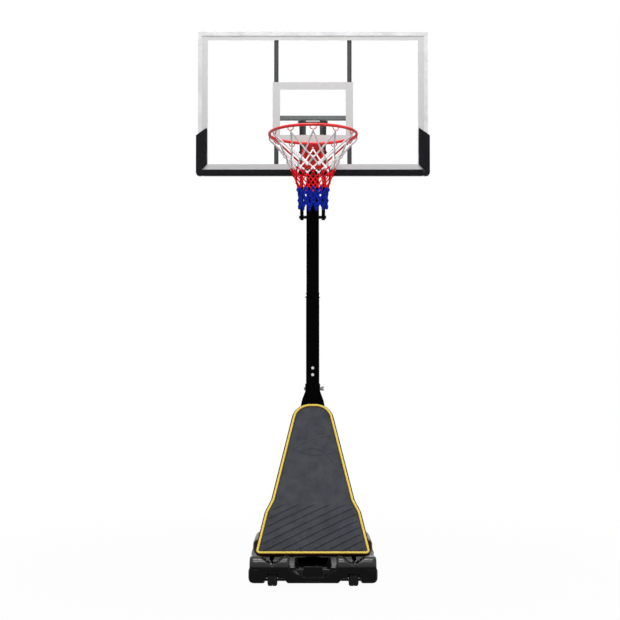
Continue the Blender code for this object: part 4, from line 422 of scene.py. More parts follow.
def board_print(name, colour):
    """Screen ink: very flat, with a faint mesh texture."""
    made = Material(name, roughness=0.52)
    made.drift(made.noise(40.0, detail=2.0), colour, shares=(0.97, 1.03), stops=(0.3, 0.7))
    made.bump(made.cells(2400.0), strength=0.10, distance=0.0002)
    return made


def clear_sheet(name, colour):
    """Clear sheet with faint wipe marks in its gloss."""
    made = Material(name, roughness=0.05, Alpha=0.020, IOR=1.49, Specular_IOR_Level=0.12)
    made.shader.inputs["Base Color"].default_value = (*colour, 1.0)
    streaks = made.noise(3.0, detail=4.0, vector=made.coordinates(scale=(1.0, 1.0, 5.0)))
    made.vary_roughness(streaks, 0.03, 0.12)
    made.made.surface_render_method = "BLENDED"
    return made


def foam_skin(name, colour):
    """Soft closed-cell foam with a skin: small pores and a dull sheen."""
    made = Material(name, roughness=0.66, Specular_IOR_Level=0.10, Sheen_Weight=0.03, Sheen_Roughness=0.5)
    made.drift(made.noise(22.0, detail=4.0), colour, shares=(0.8, 1.5), stops=(0.35, 0.7))
    made.vary_roughness(made.noise(45.0), 0.58, 0.78)
    made.bump(made.cells(700.0), strength=0.30, distance=0.0008)
    made.bump(made.noise(30.0, detail=2.0), strength=0.25, distance=0.002)
    return made


def coated_cloth(name, colour):
    """Coated fabric: fine crossed weave under a matt skin, with light worn high spots."""
    made = Material(name, roughness=0.58, Specular_IOR_Level=0.14, Sheen_Weight=0.03, Sheen_Roughness=0.45)
    place = made.coordinates(turn=(-PANEL_SLOPE, 0.0, 0.0))
    patches = made.noise(16.0, detail=5.0, vector=place)
    made.drift(patches, colour, shares=(0.82, 1.20), stops=(0.32, 0.70))
    made.vary_roughness(made.noise(38.0, detail=4.0, vector=place), 0.50, 0.68)
    for direction in ("X", "Y"):
        weave = made.bands(190.0, place, distortion=0.6, direction=direction)
        made.bump(weave, strength=0.14, distance=0.0006)
    made.bump(made.cells(330.0, place), strength=0.18, distance=0.0007)
    return made


def piping(name, core, flank):
    """Vinyl piping: yellow on its crest, deep orange on its flanks as painted shade, by how far each face
    turns from the panel's normal.
    """
    made = Material(name, roughness=0.44, Specular_IOR_Level=0.35)
    place = made.node("ShaderNodeTexCoord")
    facing = made.node("ShaderNodeVectorMath", operation="DOT_PRODUCT")
    made.link(place.outputs["Normal"], facing.inputs[0])
    facing.inputs[1].default_value = (0.0, -math.sin(PANEL_SLOPE), math.cos(PANEL_SLOPE))
    mottled = made.node("ShaderNodeMath", operation="MULTIPLY_ADD")
    made.link(made.noise(60.0), mottled.inputs[0])
    mottled.inputs[1].default_value = 0.16
    made.link(facing.outputs["Value"], mottled.inputs[2])
    # The flanks' orange, darker the more a face turns from the panel's normal, is painted shade.
    middle = tuple((a + b) / 2 for a, b in zip(core, flank))
    made.ramp(mottled.outputs[0], [(0.45, flank), (0.74, middle), (0.94, core)])
    made.vary_roughness(made.noise(90.0), 0.38, 0.54)
    made.bump(made.noise(800.0, detail=2.0), strength=0.14, distance=0.0005)
    return made


def dark_edge(name, colour):
    """Dark edge colour with a fine twill: painted shade on the piping's outer flank, and the colour of the
    cover's sides.
    """
    made = Material(name, roughness=0.70, Specular_IOR_Level=0.15)
    twill = made.bands(260.0, made.coordinates(turn=(0.0, 0.0, 0.8)), distortion=0.3)
    made.drift(twill, colour, shares=(0.6, 1.5), stops=(0.3, 0.8))
    made.bump(twill, strength=0.25, distance=0.0005)
    return made


def cord(name, colour):
    """Braided cord, the braid following the cord's own length."""
    made = Material(name, roughness=0.80, Specular_IOR_Level=0.15, Sheen_Weight=0.04, Sheen_Roughness=0.4)
    braid = made.bands(26.0, made.coordinates("UV"), direction="DIAGONAL")
    made.drift(braid, colour, shares=(0.78, 1.05), stops=(0.15, 0.6))
    made.bump(braid, strength=0.45, distance=0.0009)
    made.bump(made.noise(900.0, detail=2.0), strength=0.20, distance=0.0004)
    return made


def rubber(name, colour):
    """Dull black rubber with a fine uneven skin."""
    made = Material(name, roughness=0.74, Specular_IOR_Level=0.15)
    made.drift(made.noise(60.0, detail=4.0), colour, shares=(0.8, 1.3), stops=(0.35, 0.7))
    made.vary_roughness(made.noise(120.0), 0.66, 0.84)
    made.bump(made.noise(700.0), strength=0.25, distance=0.0006)
    return made


def make_materials():
    """Every finish by its key."""
    base_colour = (0.0020, 0.0018, 0.0020)
    black_plastic = (0.010, 0.010, 0.011)
    finishes = {
        "base": tank_plastic("base_plastic", base_colour, 0.27, gloss=0.080, polish=0.42),
        "cap": moulded_plastic("cap_plastic", black_plastic, 0.48, grain=1400.0),
        "steel": powder_coat("black_powder_coat", (0.0026, 0.0026, 0.0026), 0.50, gloss=0.004),
        "zinc": plated_metal("zinc_plate", (0.66, 0.67, 0.68), 0.34),
        "nut": plated_metal("dull_zinc_plate", (0.26, 0.26, 0.24), 0.42),
        "dark_bolt": powder_coat("black_oxide", (0.008, 0.008, 0.009), 0.42, grain=2200.0, gloss=0.2),
        "frame": powder_coat("light_grey_paint", (0.66, 0.66, 0.67), 0.50),
        "post": powder_coat("dark_grey_paint", (0.014, 0.015, 0.017), 0.50, gloss=0.2),
        "crossbar": powder_coat("grey_paint", (0.110, 0.130, 0.130), 0.48, gloss=0.2),
        "print": board_print("grey_ink", (0.56, 0.56, 0.56)),
        "clear": clear_sheet("clear_sheet", (0.93, 0.96, 0.97)),
        "pad": foam_skin("black_foam", (0.0042, 0.0042, 0.0060)),
        "plate": powder_coat("bright_red_powder_coat", (0.74, 0.018, 0.018), 0.34, gloss=0.35),
        "rim": powder_coat("red_powder_coat", (0.80, 0.026, 0.026), 0.34, gloss=0.35),
        "white": cord("white_cord", (0.96, 0.90, 0.91)),
        "red": cord("red_cord", (0.95, 0.006, 0.012)),
        "blue": cord("blue_cord", (0.002, 0.022, 0.48)),
        "cushion": coated_cloth("slate_cover", (0.056, 0.061, 0.072)),
        # The piping's flank colour is painted shade.
        "trim": piping("yellow_piping", core=(1.0, 0.76, 0.11), flank=(0.40, 0.13, 0.012)),
        "backing": moulded_plastic("panel_back_plastic", black_plastic, 0.55),
        "tyre": rubber("wheel_rubber", black_plastic),
        "grip": rubber("grip_rubber", (0.012, 0.012, 0.013)),
        # The dark edge colour is painted shade on the piping's outer flank, and also colours the cover's
        # sides.
        "dark_edge": dark_edge("dark_edge_twill", (0.030, 0.006, 0.004)),
    }
    return {key: finish.made for key, finish in finishes.items()}


def wear(made, *materials):
    """Gives an object these materials and no others."""
    made.data.materials.clear()
    for material in materials:
        made.data.materials.append(material)


def dress_nodes(paint):
    """Gives every CAD node its finish, and smooth shading between its sharp edges."""
    for entry in frame["record"]["subparts"]:
        node = NODES[entry["node"]]
        wear(node, paint["plate" if entry["node"] == "rim_plate" else entry["material_slot"]])
        node.data.shade_smooth()
        node.data.set_sharp_from_angle(angle=math.radians(NODE_SHARP_DEG))


def new_mesh(name, shape):
    """Turns a bmesh into a mesh and frees it."""
    mesh = bpy.data.meshes.new(name)
    shape.to_mesh(mesh)
    shape.free()
    return mesh


def new_piece(name, shape, material, body, replaced, smooth_deg=40.0):
    bmesh.ops.recalc_face_normals(shape, faces=shape.faces)
    mesh = new_mesh(name, shape)
    mesh.materials.append(material)
    mesh.shade_smooth()
    mesh.set_sharp_from_angle(angle=math.radians(smooth_deg))
    return hold(new_object(name, mesh), body, replaced)


def hold(made, body, replaced):
    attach(made, body)
    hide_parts(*replaced)
    return made


def even_skin(made, voxel):
    remesh = made.modifiers.new("even_skin", "REMESH")
    remesh.mode = "VOXEL"
    remesh.voxel_size = voxel


def ease(made, rounds, group=""):
    """Smooths an object, or one of its vertex groups."""
    smooth = made.modifiers.new("ease", "SMOOTH")
    smooth.iterations = rounds
    smooth.vertex_group = group


def thin_out(made, kept):
    made.modifiers.new("fewer", "DECIMATE").ratio = kept


def apply_modifiers(made):
    """Bakes an object's modifiers into its own mesh."""
    bpy.context.view_layer.update()
    graph = bpy.context.evaluated_depsgraph_get()
    mesh = bpy.data.meshes.new_from_object(made.evaluated_get(graph))
    made.modifiers.clear()
    made.data = mesh


def round_angles(count):
    return [2 * math.pi * k / count for k in range(count)]


def join_rings(shape, rings, closed=False):
    """Adds the faces between neighbouring rings of vertices."""
    pairs = list(zip(rings, rings[1:]))
    if closed:
        pairs.append((rings[-1], rings[0]))
    count = len(rings[0])
    for first, second in pairs:
        for i in range(count):
            j = (i + 1) % count
            shape.faces.new((first[i], first[j], second[j], second[i]))


def add_rings(shape, rings, closed=False):
    """A skin over rings of points, capped at both ends or closed on itself."""
    made = [[shape.verts.new(point) for point in ring] for ring in rings]
    join_rings(shape, made, closed)
    if not closed:
        shape.faces.new(made[0])
        shape.faces.new(made[-1])


def tube_rings(points, radius, sides, closed):
    """The rings of a round tube, carried along it without twist."""
    last = len(points) - 1
    side = None
    rings = []
    for i, point in enumerate(points):
        before = points[i - 1] if i or closed else point
        after = points[(i + 1) % len(points)] if i < last or closed else point
        along = (after - before).normalized()
        if side is None:
            side = along.orthogonal().normalized()
        side = (side - along * side.dot(along)).normalized()
        other = along.cross(side)
        size = radius[i] if isinstance(radius, list) else radius
        spokes = [side * math.cos(angle) + other * math.sin(angle) for angle in round_angles(sides)]
        rings.append([point + spoke * size for spoke in spokes])
    return rings


def lay_braid(shape, points, sides, start, braid):
    """UVs of a tube whose faces begin at start: along the cord and round it."""
    lengths = [0.0]
    for a, b in zip(points, points[1:]):
        lengths.append(lengths[-1] + (b - a).length)
    shape.faces.ensure_lookup_table()
    for index in range((len(points) - 1) * sides):
        i, k = divmod(index, sides)
        corners = ((i, k), (i, k + 1), (i + 1, k + 1), (i + 1, k))
        for loop, (row, column) in zip(shape.faces[start + index].loops, corners):
            loop[braid].uv = (lengths[row] / (2 * math.pi * CORD_RADIUS), column / sides)


def add_tube(shape, points, radius, sides, closed=False, braid=None):
    """A round tube through the points. With braid, its UVs run along and round the cord."""
    points = [Vector(p) for p in points]
    start = len(shape.faces)
    add_rings(shape, tube_rings(points, radius, sides, closed), closed)
    if braid is not None:
        lay_braid(shape, points, sides, start, braid)


def rounded(corners, radii, steps):
    """Rounds each corner of a polygon with its own radius."""
    outline = []
    for i, corner in enumerate(corners):
        here = Vector(corner)
        back = (Vector(corners[i - 1]) - here).normalized()
        onward = (Vector(corners[(i + 1) % len(corners)]) - here).normalized()
        half = back.angle(onward) / 2
        centre = here + (back + onward).normalized() * radii[i] / math.sin(half)
        start = here + back * radii[i] / math.tan(half) - centre
        end = here + onward * radii[i] / math.tan(half) - centre
        turn = start.angle_signed(end)
        for k in range(steps + 1):
            outline.append(tuple(centre + Matrix.Rotation(-turn * k / steps, 2) @ start))
    return outline


def inset(corners, distance):
    """Moves every edge of a counter-clockwise polygon inwards."""
    moved = []
    for i, corner in enumerate(corners):
        here = Vector(corner)
        first = (here - Vector(corners[i - 1])).normalized()
        second = (Vector(corners[(i + 1) % len(corners)]) - here).normalized()
        middle = Vector((-first.y, first.x)) + Vector((-second.y, second.x))
        moved.append(tuple(here + middle * (2 * distance / middle.length_squared)))
    return moved


def panel_outline(outwards, steps=PANEL_ARC_STEPS):
    """The panel's outline in its own plane, moved outwards."""
    corners = list(PANEL_SIDES) + [(-x, y) for x, y in reversed(PANEL_SIDES)]
    radii = [PANEL_RADII[0] + outwards, *PANEL_RADII[1:3], PANEL_RADII[3] + outwards]
    return rounded(inset(corners, -outwards), radii + radii[::-1], steps)


def to_panel(shape):
    """Moves a shape drawn in the panel's plane to its leaning place."""
    bmesh.ops.transform(shape, matrix=PANEL_PLACE, verts=shape.verts)
    return shape


def sides_of(outline):
    return list(zip(outline, outline[1:] + outline[:1]))


def half_width(outline, y):
    best = 0.0
    for (x0, y0), (x1, y1) in sides_of(outline):
        if min(y0, y1) <= y <= max(y0, y1) and abs(y1 - y0) > NOUGHT:
            best = max(best, x0 + (x1 - x0) * (y - y0) / (y1 - y0))
    return best


def closest(outline, x, y):
    """The outline's point that lies nearest to a place."""
    here = Vector((x, y))
    points = []
    for start, end in sides_of(outline):
        a, b = Vector(start), Vector(end)
        share = max(0.0, min(1.0, (here - a).dot(b - a) / max((b - a).length_squared, NOUGHT)))
        points.append(a + (b - a) * share)
    return tuple(min(points, key=lambda point: (point - here).length))


def distances(points, lines):
    """The distance from each point to the nearest of the line pieces."""
    best = np.full(len(points), 1.0)
    for start, end in lines:
        a, b = np.array(start), np.array(end)
        run = b - a
        length = float(run @ run)
        if length < NOUGHT:
            continue
        share = np.clip(((points - a) @ run) / length, 0.0, 1.0)
        best = np.minimum(best, np.linalg.norm(points - a - share[:, None] * run, axis=1))
    return best


def inside(points, outline):
    """Which points lie inside a closed outline, by counting crossings."""
    within = np.zeros(len(points), dtype=bool)
    x, y = points[:, 0], points[:, 1]
    for (x0, y0), (x1, y1) in sides_of(outline):
        if y0 == y1:
            continue
        crosses = (y0 > y) != (y1 > y)
        within ^= crosses & (x < x0 + (x1 - x0) * (y - y0) / (y1 - y0))
    return within


def steps_between(values, low, high):
    """Rises smoothly from nought to one between low and high."""
    share = np.clip((values - low) / (high - low), 0.0, 1.0)
    return share * share * (3 - 2 * share)


def gap_inside(points, outline):
    """How far points lie inside the outline; nought outside it."""
    return np.where(inside(points, outline), distances(points, sides_of(outline)), 0.0)


def crown_height(gap):
    return COVER_CROWN * sum(share * steps_between(gap, 0.0, reach) for share, reach in CROWN_RISES)


def seam_lines():
    """Plain curved seams on the panel's top, as on any sewn ball."""
    lines = []
    centre = Vector(SEAM_FIRST)
    for bend, turn, reach in SEAMS:
        points = []
        for k in range(SEAM_STEPS + 1):
            t = -1 + 2 * k / SEAM_STEPS
            local = Vector((t * reach, bend * reach * (1 - t * t)))
            points.append(centre + Matrix.Rotation(math.radians(turn), 2) @ local)
        lines.append(points)
        centre = centre - Vector((0.0, SEAM_PITCH))
    return lines


def sewn_relief(points, gap):
    """What is sewn into the cover: edge groove, slanting cords, raised seams and uneven filling."""
    x, y = points[:, 0], points[:, 1]
    roll = steps_between(gap, 0.0, EDGE_ROLL)
    phase = (y * math.cos(RIB_SLOPE) - x * math.sin(RIB_SLOPE)) / RIB_PITCH
    wave = (phase - np.floor(phase) - 0.5) / RIB_SHARE
    band = steps_between(-y, RIB_START, RIB_START + RIB_FADE) * steps_between(gap, *RIB_ENDS)
    relief = RIB_HEIGHT * band * np.exp(-wave * wave)
    pieces = [pair for line in seam_lines() for pair in zip(line, line[1:])]
    relief += SEAM_HEIGHT * roll * np.exp(-(distances(points, pieces) / SEAM_HALF) ** 2)
    relief -= GROOVE_DEPTH * np.exp(-(gap / GROOVE_HALF) ** 2)
    places = [Vector((a * UNEVEN_SCALE, b * UNEVEN_SCALE, UNEVEN_LAYER)) for a, b in points]
    uneven = np.array([noise.noise(place) for place in places])
    return relief + UNEVEN_HEIGHT * uneven * roll


def crowned_top(shape, window, crown_share):
    """The cover's top, as rows of vertices from its foot to its head."""
    low = min(y for _, y in window)
    high = max(y for _, y in window)
    grid = []
    for k in range(COVER_ROWS + 1):
        y = low + (high - low) * k / COVER_ROWS
        half = half_width(window, min(max(y, low + ROW_MARGIN), high - ROW_MARGIN))
        line = np.array([(half * (2 * j / COVER_COLUMNS - 1), y) for j in range(COVER_COLUMNS + 1)])
        heights = crown_share * crown_height(gap_inside(line, window))
        grid.append([shape.verts.new((a, b, COVER_RIM + c)) for (a, b), c in zip(line, heights)])
    for a, b in zip(grid, grid[1:]):
        for j in range(COVER_COLUMNS):
            shape.faces.new((a[j], a[j + 1], b[j + 1], b[j]))
    return grid


def cover_form(window, crown_share):
    """The cover's closed form: crowned top, margin for the piping, rounded sides and flat back."""
    shape = bmesh.new()
    grid = crowned_top(shape, window, crown_share)
    right = [row[-1] for row in grid[1:-1]]
    left = [row[0] for row in grid[1:-1]]
    border = grid[0] + right + grid[-1][::-1] + left[::-1]
    rings = [border]
    for pull, height in COVER_SIDES:
        edge = panel_outline(PANEL_EDGE - pull)
        places = [closest(edge, vertex.co.x, vertex.co.y) for vertex in border]
        rings.append([shape.verts.new((*place, COVER_RIM + height)) for place in places])
    join_rings(shape, rings)
    shape.faces.new(rings[-1])
    bmesh.ops.remove_doubles(shape, verts=shape.verts, dist=COVER_WELD)
    bmesh.ops.recalc_face_normals(shape, faces=shape.faces)
    return shape


def vectors_of(items, attribute="co"):
    flat = np.empty(len(items) * 3)
    items.foreach_get(attribute, flat)
    return flat.reshape(-1, 3)


def set_coordinates(mesh, points):
    mesh.vertices.foreach_set("co", points.ravel())
    mesh.update()


def swell(made):
    """Fills the cover with air by cloth simulation; its margin and back stay on the board."""
    rest = vectors_of(made.data.vertices)
    gap = gap_inside(rest[:, :2], panel_outline(-TRIM_HALF))
    fixed = (gap < PINNED_MARGIN) | (rest[:, 2] < COVER_RIM - COVER_SKIN)
    group = made.vertex_groups.new(name="sewn_down")
    group.add([int(i) for i in np.nonzero(fixed)[0]], 1.0, "REPLACE")
    cloth = made.modifiers.new("filled", "CLOTH")
    for setting, value in CLOTH.items():
        setattr(cloth.settings, setting, value)
    cloth.settings.vertex_group_mass = group.name
    cloth.settings.effector_weights.gravity = 0.0
    cloth.collision_settings.use_collision = False
    cloth.point_cache.frame_start = 1
    cloth.point_cache.frame_end = SWELL_FRAMES
    for number in range(1, SWELL_FRAMES + 1):
        bpy.context.scene.frame_set(number)
    apply_modifiers(made)
    moved = vectors_of(made.data.vertices) - rest
    length = np.linalg.norm(moved, axis=1)
    keep = np.where(length > SWELL_CAP, SWELL_CAP / np.maximum(length, NOUGHT), 1.0)
    moved *= (keep * steps_between(gap, 0.0, SWELL_FADE))[:, None]
    set_coordinates(made.data, rest + moved)
    bpy.context.scene.frame_set(1)


def sew(made, window):
    """Raises what is sewn into the cover's top, and levels the margin that the piping lies on."""
    points = vectors_of(made.data.vertices)
    gap = gap_inside(points[:, :2], window)
    top = steps_between(points[:, 2], COVER_RIM - RELIEF_FROM, COVER_RIM - COVER_SKIN) * (gap > 0.0)
    points[:, 2] += top * sewn_relief(points[:, :2], gap)
    margin = (gap == 0.0) & (points[:, 2] > COVER_RIM)
    points[margin, 2] = COVER_RIM
    set_coordinates(made.data, points)


def darken_edge(made, window):
    """Gives the cover's sides the second material, the dark edge colour, and shades all of it smooth."""
    faces = made.data.polygons
    centres = vectors_of(faces, "center")
    edge = (~inside(centres[:, :2], window)) & (centres[:, 2] > COVER_BACK + COVER_SKIN)
    faces.foreach_set("material_index", edge.astype(np.int32))
    faces.foreach_set("use_smooth", np.ones(len(edge), dtype=bool))


def make_cushion(paint):
    """The padded cover: filled by simulation, then the cords and seams that are sewn into it."""
    window = panel_outline(-TRIM_HALF - CLEARANCE)
    shape = cover_form(window, CROWN_BEFORE_SWELL)
    made = new_object("padded_cover", new_mesh("padded_cover", shape))
    even_skin(made, COVER_VOXEL)
    apply_modifiers(made)
    swell(made)
    finer = made.modifiers.new("finer", "SUBSURF")
    finer.levels = 1
    apply_modifiers(made)
    sew(made, window)
    wear(made, paint["cushion"], paint["dark_edge"])
    darken_edge(made, window)
    made.data.transform(PANEL_PLACE)
    hold(made, "base", ["panel_cushion"])


def make_trim(paint):
    """The piping: a flattened round bead on the cushion's margin, its outer flank in the dark edge colour
    as painted shade under the bead.
    """
    rings = []
    for k in range(TRIM_SIDES + 1):
        angle = math.pi * k / TRIM_SIDES
        height = COVER_RIM + CLEARANCE + TRIM_HEIGHT * math.sin(angle) ** TRIM_FLATTENING
        outline = panel_outline(-TRIM_HALF * math.cos(angle), TRIM_ARC_STEPS)
        rings.append([(x, y, height) for x, y in outline])
    shape = bmesh.new()
    add_rings(shape, rings, True)
    shape.faces.ensure_lookup_table()
    count = len(rings[0])
    # The bead's outer flank takes the dark edge colour, painted shade.
    for face in shape.faces[(TRIM_SIDES - TRIM_DARK_SIDES) * count:TRIM_SIDES * count]:
        face.material_index = 1
    bead = to_panel(shape)
    made = new_piece("yellow_piping", bead, paint["trim"], "base", ["panel_trim"], smooth_deg=60.0)
    made.data.materials.append(paint["dark_edge"])


def strut_place(distance):
    """Sideways place of a strut's centre line, measured down the slope from its bolt."""
    return float(np.interp(distance, *zip(*STRUT_LINE)))


def strut_ring(side, distance, flat, taper):
    """One section: pressed flat at the ends, oval beside the pole and round below it."""
    thick = STRUT_RADIUS + (STRUT_FLAT - STRUT_RADIUS) * flat
    wide = (STRUT_RADIUS + (STRUT_FLAT_WIDTH - STRUT_RADIUS) * flat) * taper
    outer = strut_place(distance) + thick
    inner = strut_place(distance) - thick
    if distance < STRUT_ROUND_FROM:
        loose = float(steps_between(np.array(distance), STRUT_HUG_UNTIL, STRUT_ROUND_FROM))
        pressed = POLE_HALF - STRUT_PRESS
        inner = pressed + (inner - pressed) * loose
        wide *= math.sqrt(2 * thick / (outer - inner))
    squareness = 1.0 - STRUT_SQUARE * flat
    ring = []
    for angle in round_angles(ROUND_SIDES):
        u = math.copysign(abs(math.cos(angle)) ** squareness, math.cos(angle))
        v = math.copysign(abs(math.sin(angle)) ** squareness, math.sin(angle))
        across = (outer + inner) / 2 + (outer - inner) / 2 * u
        ring.append((side * across, -distance, wide * v))
    return ring


def make_struts(paint):
    """The tubular struts, pressed flat at both ends, with an oval neck beside the pole."""
    stations = [*STRUT_HEAD, *((distance, 0.0, 1.0) for distance in STRUT_TUBE)]
    stations += [(STRUT_FOOT + beyond, flat, taper) for beyond, flat, taper in STRUT_TAIL]
    pivot = Vector((0.0, 0.0, PANEL_PIVOT_Z))
    foot = Vector((0.0, -math.cos(PANEL_SLOPE), -math.sin(PANEL_SLOPE))) * STRUT_FOOT
    for label, side in (("left", -1), ("right", 1)):
        shape = bmesh.new()
        add_rings(shape, [strut_ring(side, *station) for station in stations])
        name = f"strut_tube_{label}"
        made = new_piece(name, to_panel(shape), paint["steel"], "base", [f"strut_{label}"])
        for centre in (pivot, pivot + foot):
            drill(made, centre)


def drill(made, centre):
    """Cuts a bolt's hole along X and removes the cutter."""
    shape = bmesh.new()
    rings = []
    for x in (-DRILL_REACH, DRILL_REACH):
        ring = []
        for angle in round_angles(ROUND_SIDES):
            reach = (BOLT_RADIUS + CLEARANCE) * Vector((0.0, math.cos(angle), math.sin(angle)))
            ring.append(centre + reach + Vector((x, 0.0, 0.0)))
        rings.append(ring)
    add_rings(shape, rings)
    bmesh.ops.recalc_face_normals(shape, faces=shape.faces)
    cutter = new_object("drill", new_mesh("drill", shape))
    cut = made.modifiers.new("hole", "BOOLEAN")
    cut.operation = "DIFFERENCE"
    cut.solver = "EXACT"
    cut.object = cutter
    apply_modifiers(made)
    bpy.data.objects.remove(cutter, do_unlink=True)


def bolt_ring(x, radius, hexagonal):
    """One section across the bolt, round or hexagonal."""
    ring = []
    for angle in round_angles(ROUND_SIDES):
        corner = (angle + math.pi / 6) % (math.pi / 3) - math.pi / 6
        reach = radius * math.cos(math.pi / 6) / math.cos(corner) if hexagonal else radius
        ring.append((x, reach * math.cos(angle), reach * math.sin(angle)))
    return ring


def make_wing_bolt(paint):
    """The bolt through the pole and both struts: hexagonal head, shank and a flared wing nut."""
    shape = bmesh.new()
    top = -BOLT_GRIP - HEX_HEIGHT
    sections = [
        (top, HEX_RADIUS - HEX_CHAMFER, True), (top + HEX_CHAMFER, HEX_RADIUS, True),
        (-BOLT_GRIP, HEX_RADIUS, True), (-BOLT_GRIP, BOLT_RADIUS, False), (BOLT_GRIP, BOLT_RADIUS, False),
        *((BOLT_GRIP + x, radius, False) for x, radius in NUT_PROFILE),
    ]
    add_rings(shape, [bolt_ring(*section) for section in sections])
    ear = rounded(EAR_CORNERS, EAR_RADII, EAR_ARC_STEPS)
    for turn in (EAR_TILT, EAR_TILT + math.pi):
        radial = Vector((0.0, math.sin(turn), math.cos(turn)))
        flank = Vector((0.0, math.cos(turn), -math.sin(turn)))
        rings = []
        for half in (-EAR_HALF, EAR_HALF):
            offset = Vector((BOLT_GRIP, 0.0, 0.0)) + flank * half
            rings.append([radial * r + Vector((x, 0.0, 0.0)) + offset for r, x in ear])
        add_rings(shape, rings)
    bmesh.ops.translate(shape, verts=shape.verts, vec=(0.0, 0.0, PANEL_PIVOT_Z))
    new_piece("wing_bolt", shape, paint["nut"], "base", ["strut_top_bolt"], smooth_deg=30.0)


def wheel_rings(centre):
    """Sections round the axle: lugs in two offset rows, a middle groove and raised spokes."""
    profile = [(WHEEL_HALF - back, r) for back, r in WHEEL_SIDE]
    profile += [(u, WHEEL_RADIUS - depth) for u, depth in WHEEL_GROOVE]
    profile += [(-u, r) for u, r in reversed(profile)]
    half_step = LUG_STEPS // 2
    rings = []
    for i, angle in enumerate(round_angles(LUG_STEPS * TREAD_LUGS)):
        spoke = 0.5 + 0.5 * math.cos(SPOKES * angle)
        ring = []
        for u, r in profile:
            row = 0 if u > 0 else half_step
            dented = math.isclose(r, WHEEL_RADIUS) and (i + row) % LUG_STEPS > half_step
            reach = r - TREAD_DEPTH if dented else r
            raised = SPOKE_RISE * spoke ** 2 if math.isclose(abs(u), WHEEL_HALF - SPOKE_SINK) else 0.0
            across = u + math.copysign(raised, u)
            ring.append(centre + Vector((across, reach * math.cos(angle), reach * math.sin(angle))))
        rings.append(ring)
    return rings


def make_wheels(paint):
    for label, side in (("left", -1), ("right", 1)):
        shape = bmesh.new()
        add_rings(shape, wheel_rings(Vector((side * WHEEL_X, -WHEEL_AHEAD, WHEEL_Z))), True)
        name = f"wheel_{label}"
        new_piece(f"tread_{name}", shape, paint["tyre"], name, [name], smooth_deg=35.0)


def on_circle(radius, angle, z):
    """A place on a circle round the rim's axis."""
    return Vector((radius * math.sin(angle), -RIM_AHEAD - radius * math.cos(angle), z))


def add_hook(shape, angle):
    """A bowed wire under the ring, with a blob of weld at each end."""
    centre = on_circle(RING_RADIUS, angle, RIM_Z)
    tangent = Vector((math.cos(angle), math.sin(angle), 0.0))
    points = []
    for k in range(HOOK_STEPS + 1):
        turn = math.pi * (k / HOOK_STEPS)
        drop = HOOK_TOP + HOOK_DROP * math.sin(turn) ** HOOK_BOW
        points.append(centre + tangent * (HOOK_SPAN / 2 * math.cos(turn)) - Vector((0.0, 0.0, drop)))
    add_tube(shape, points, HOOK_WIRE, HOOK_SIDES)
    for end in (points[0], points[-1]):
        weld = bmesh.ops.create_icosphere(shape, subdivisions=1, radius=HOOK_WELD)["verts"]
        bmesh.ops.translate(shape, verts=weld, vec=end - Vector((0.0, 0.0, HOOK_WELD_SINK)))


def make_ring(paint):
    """The rim's ring with its net hooks."""
    shape = bmesh.new()
    ring = [on_circle(RING_RADIUS, angle, RIM_Z) for angle in round_angles(RING_STEPS)]
    add_tube(shape, ring, ROD_RADIUS, ROD_SIDES, True)
    for angle in round_angles(HOOKS):
        add_hook(shape, angle)
    new_piece("ring_and_hooks", shape, paint["rim"], "backboard", ["rim_ring"], smooth_deg=50.0)


def add_knot(shape, braid, centre, size):
    """A small overhand knot: a short fat tube standing on the crossing."""
    points = [centre + Vector((0.0, 0.0, along * size)) for along, _ in KNOT]
    add_tube(shape, points, [size * bulge for _, bulge in KNOT], KNOT_SIDES, braid=braid)


def add_loop(shape, braid, foot, angle):
    """The net's top loop, passed over the hook's wire."""
    outward = Vector((math.sin(angle), -math.cos(angle), 0.0))
    points = []
    for step in range(LOOP_STEPS + 1):
        turn = 2 * math.pi * step / LOOP_STEPS
        height = LOOP_HALF_HEIGHT + LOOP_HALF_HEIGHT * math.cos(turn + math.pi)
        points.append(foot + outward * (LOOP_HALF_WIDTH * math.sin(turn)) + Vector((0.0, 0.0, height)))
    add_tube(shape, points, LOOP_CORD, CORD_SIDES, braid=braid)


def net_leg(start, end, sag):
    """Points along one leg of the net, bowed inwards a little under its own weight."""
    points = []
    for step in range(LEG_STEPS + 1):
        t = step / LEG_STEPS
        point = start.lerp(end, t)
        inward = Vector((-point.x, -RIM_AHEAD - point.y, 0.0)).normalized()
        points.append(point + inward * (sag * math.sin(math.pi * t)))
    return points


def make_net(paint, name, rows, parity, cord_radius, sag=0.0, top_loops=False):
    """One colour of the net: legs between rows of knots, every other row turned by half a mesh."""
    shape = bmesh.new()
    braid = shape.loops.layers.uv.new("UVMap")

    def angle_at(k, j):
        return MESH_ANGLE * (j + 0.5 * ((k + parity) % 2))

    def spot(k, j):
        drop, radius = rows[k]
        return on_circle(radius, angle_at(k, j), RIM_Z - drop)

    for k in range(len(rows) - 1):
        lean = 0 if (k + parity) % 2 else -1
        for j in range(HOOKS):
            for other in (j + lean, j + lean + 1):
                leg = net_leg(spot(k, j), spot(k + 1, other % HOOKS), sag)
                add_tube(shape, leg, cord_radius, CORD_SIDES, braid=braid)
    for k in range(len(rows)):
        for j in range(HOOKS):
            if top_loops and k == 0:
                add_loop(shape, braid, spot(k, j), angle_at(k, j))
            else:
                add_knot(shape, braid, spot(k, j), cord_radius * KNOT_SIZE)
    new_piece(f"{name}_cords", shape, paint[name], "backboard", [f"net_{name}"], smooth_deg=60.0)


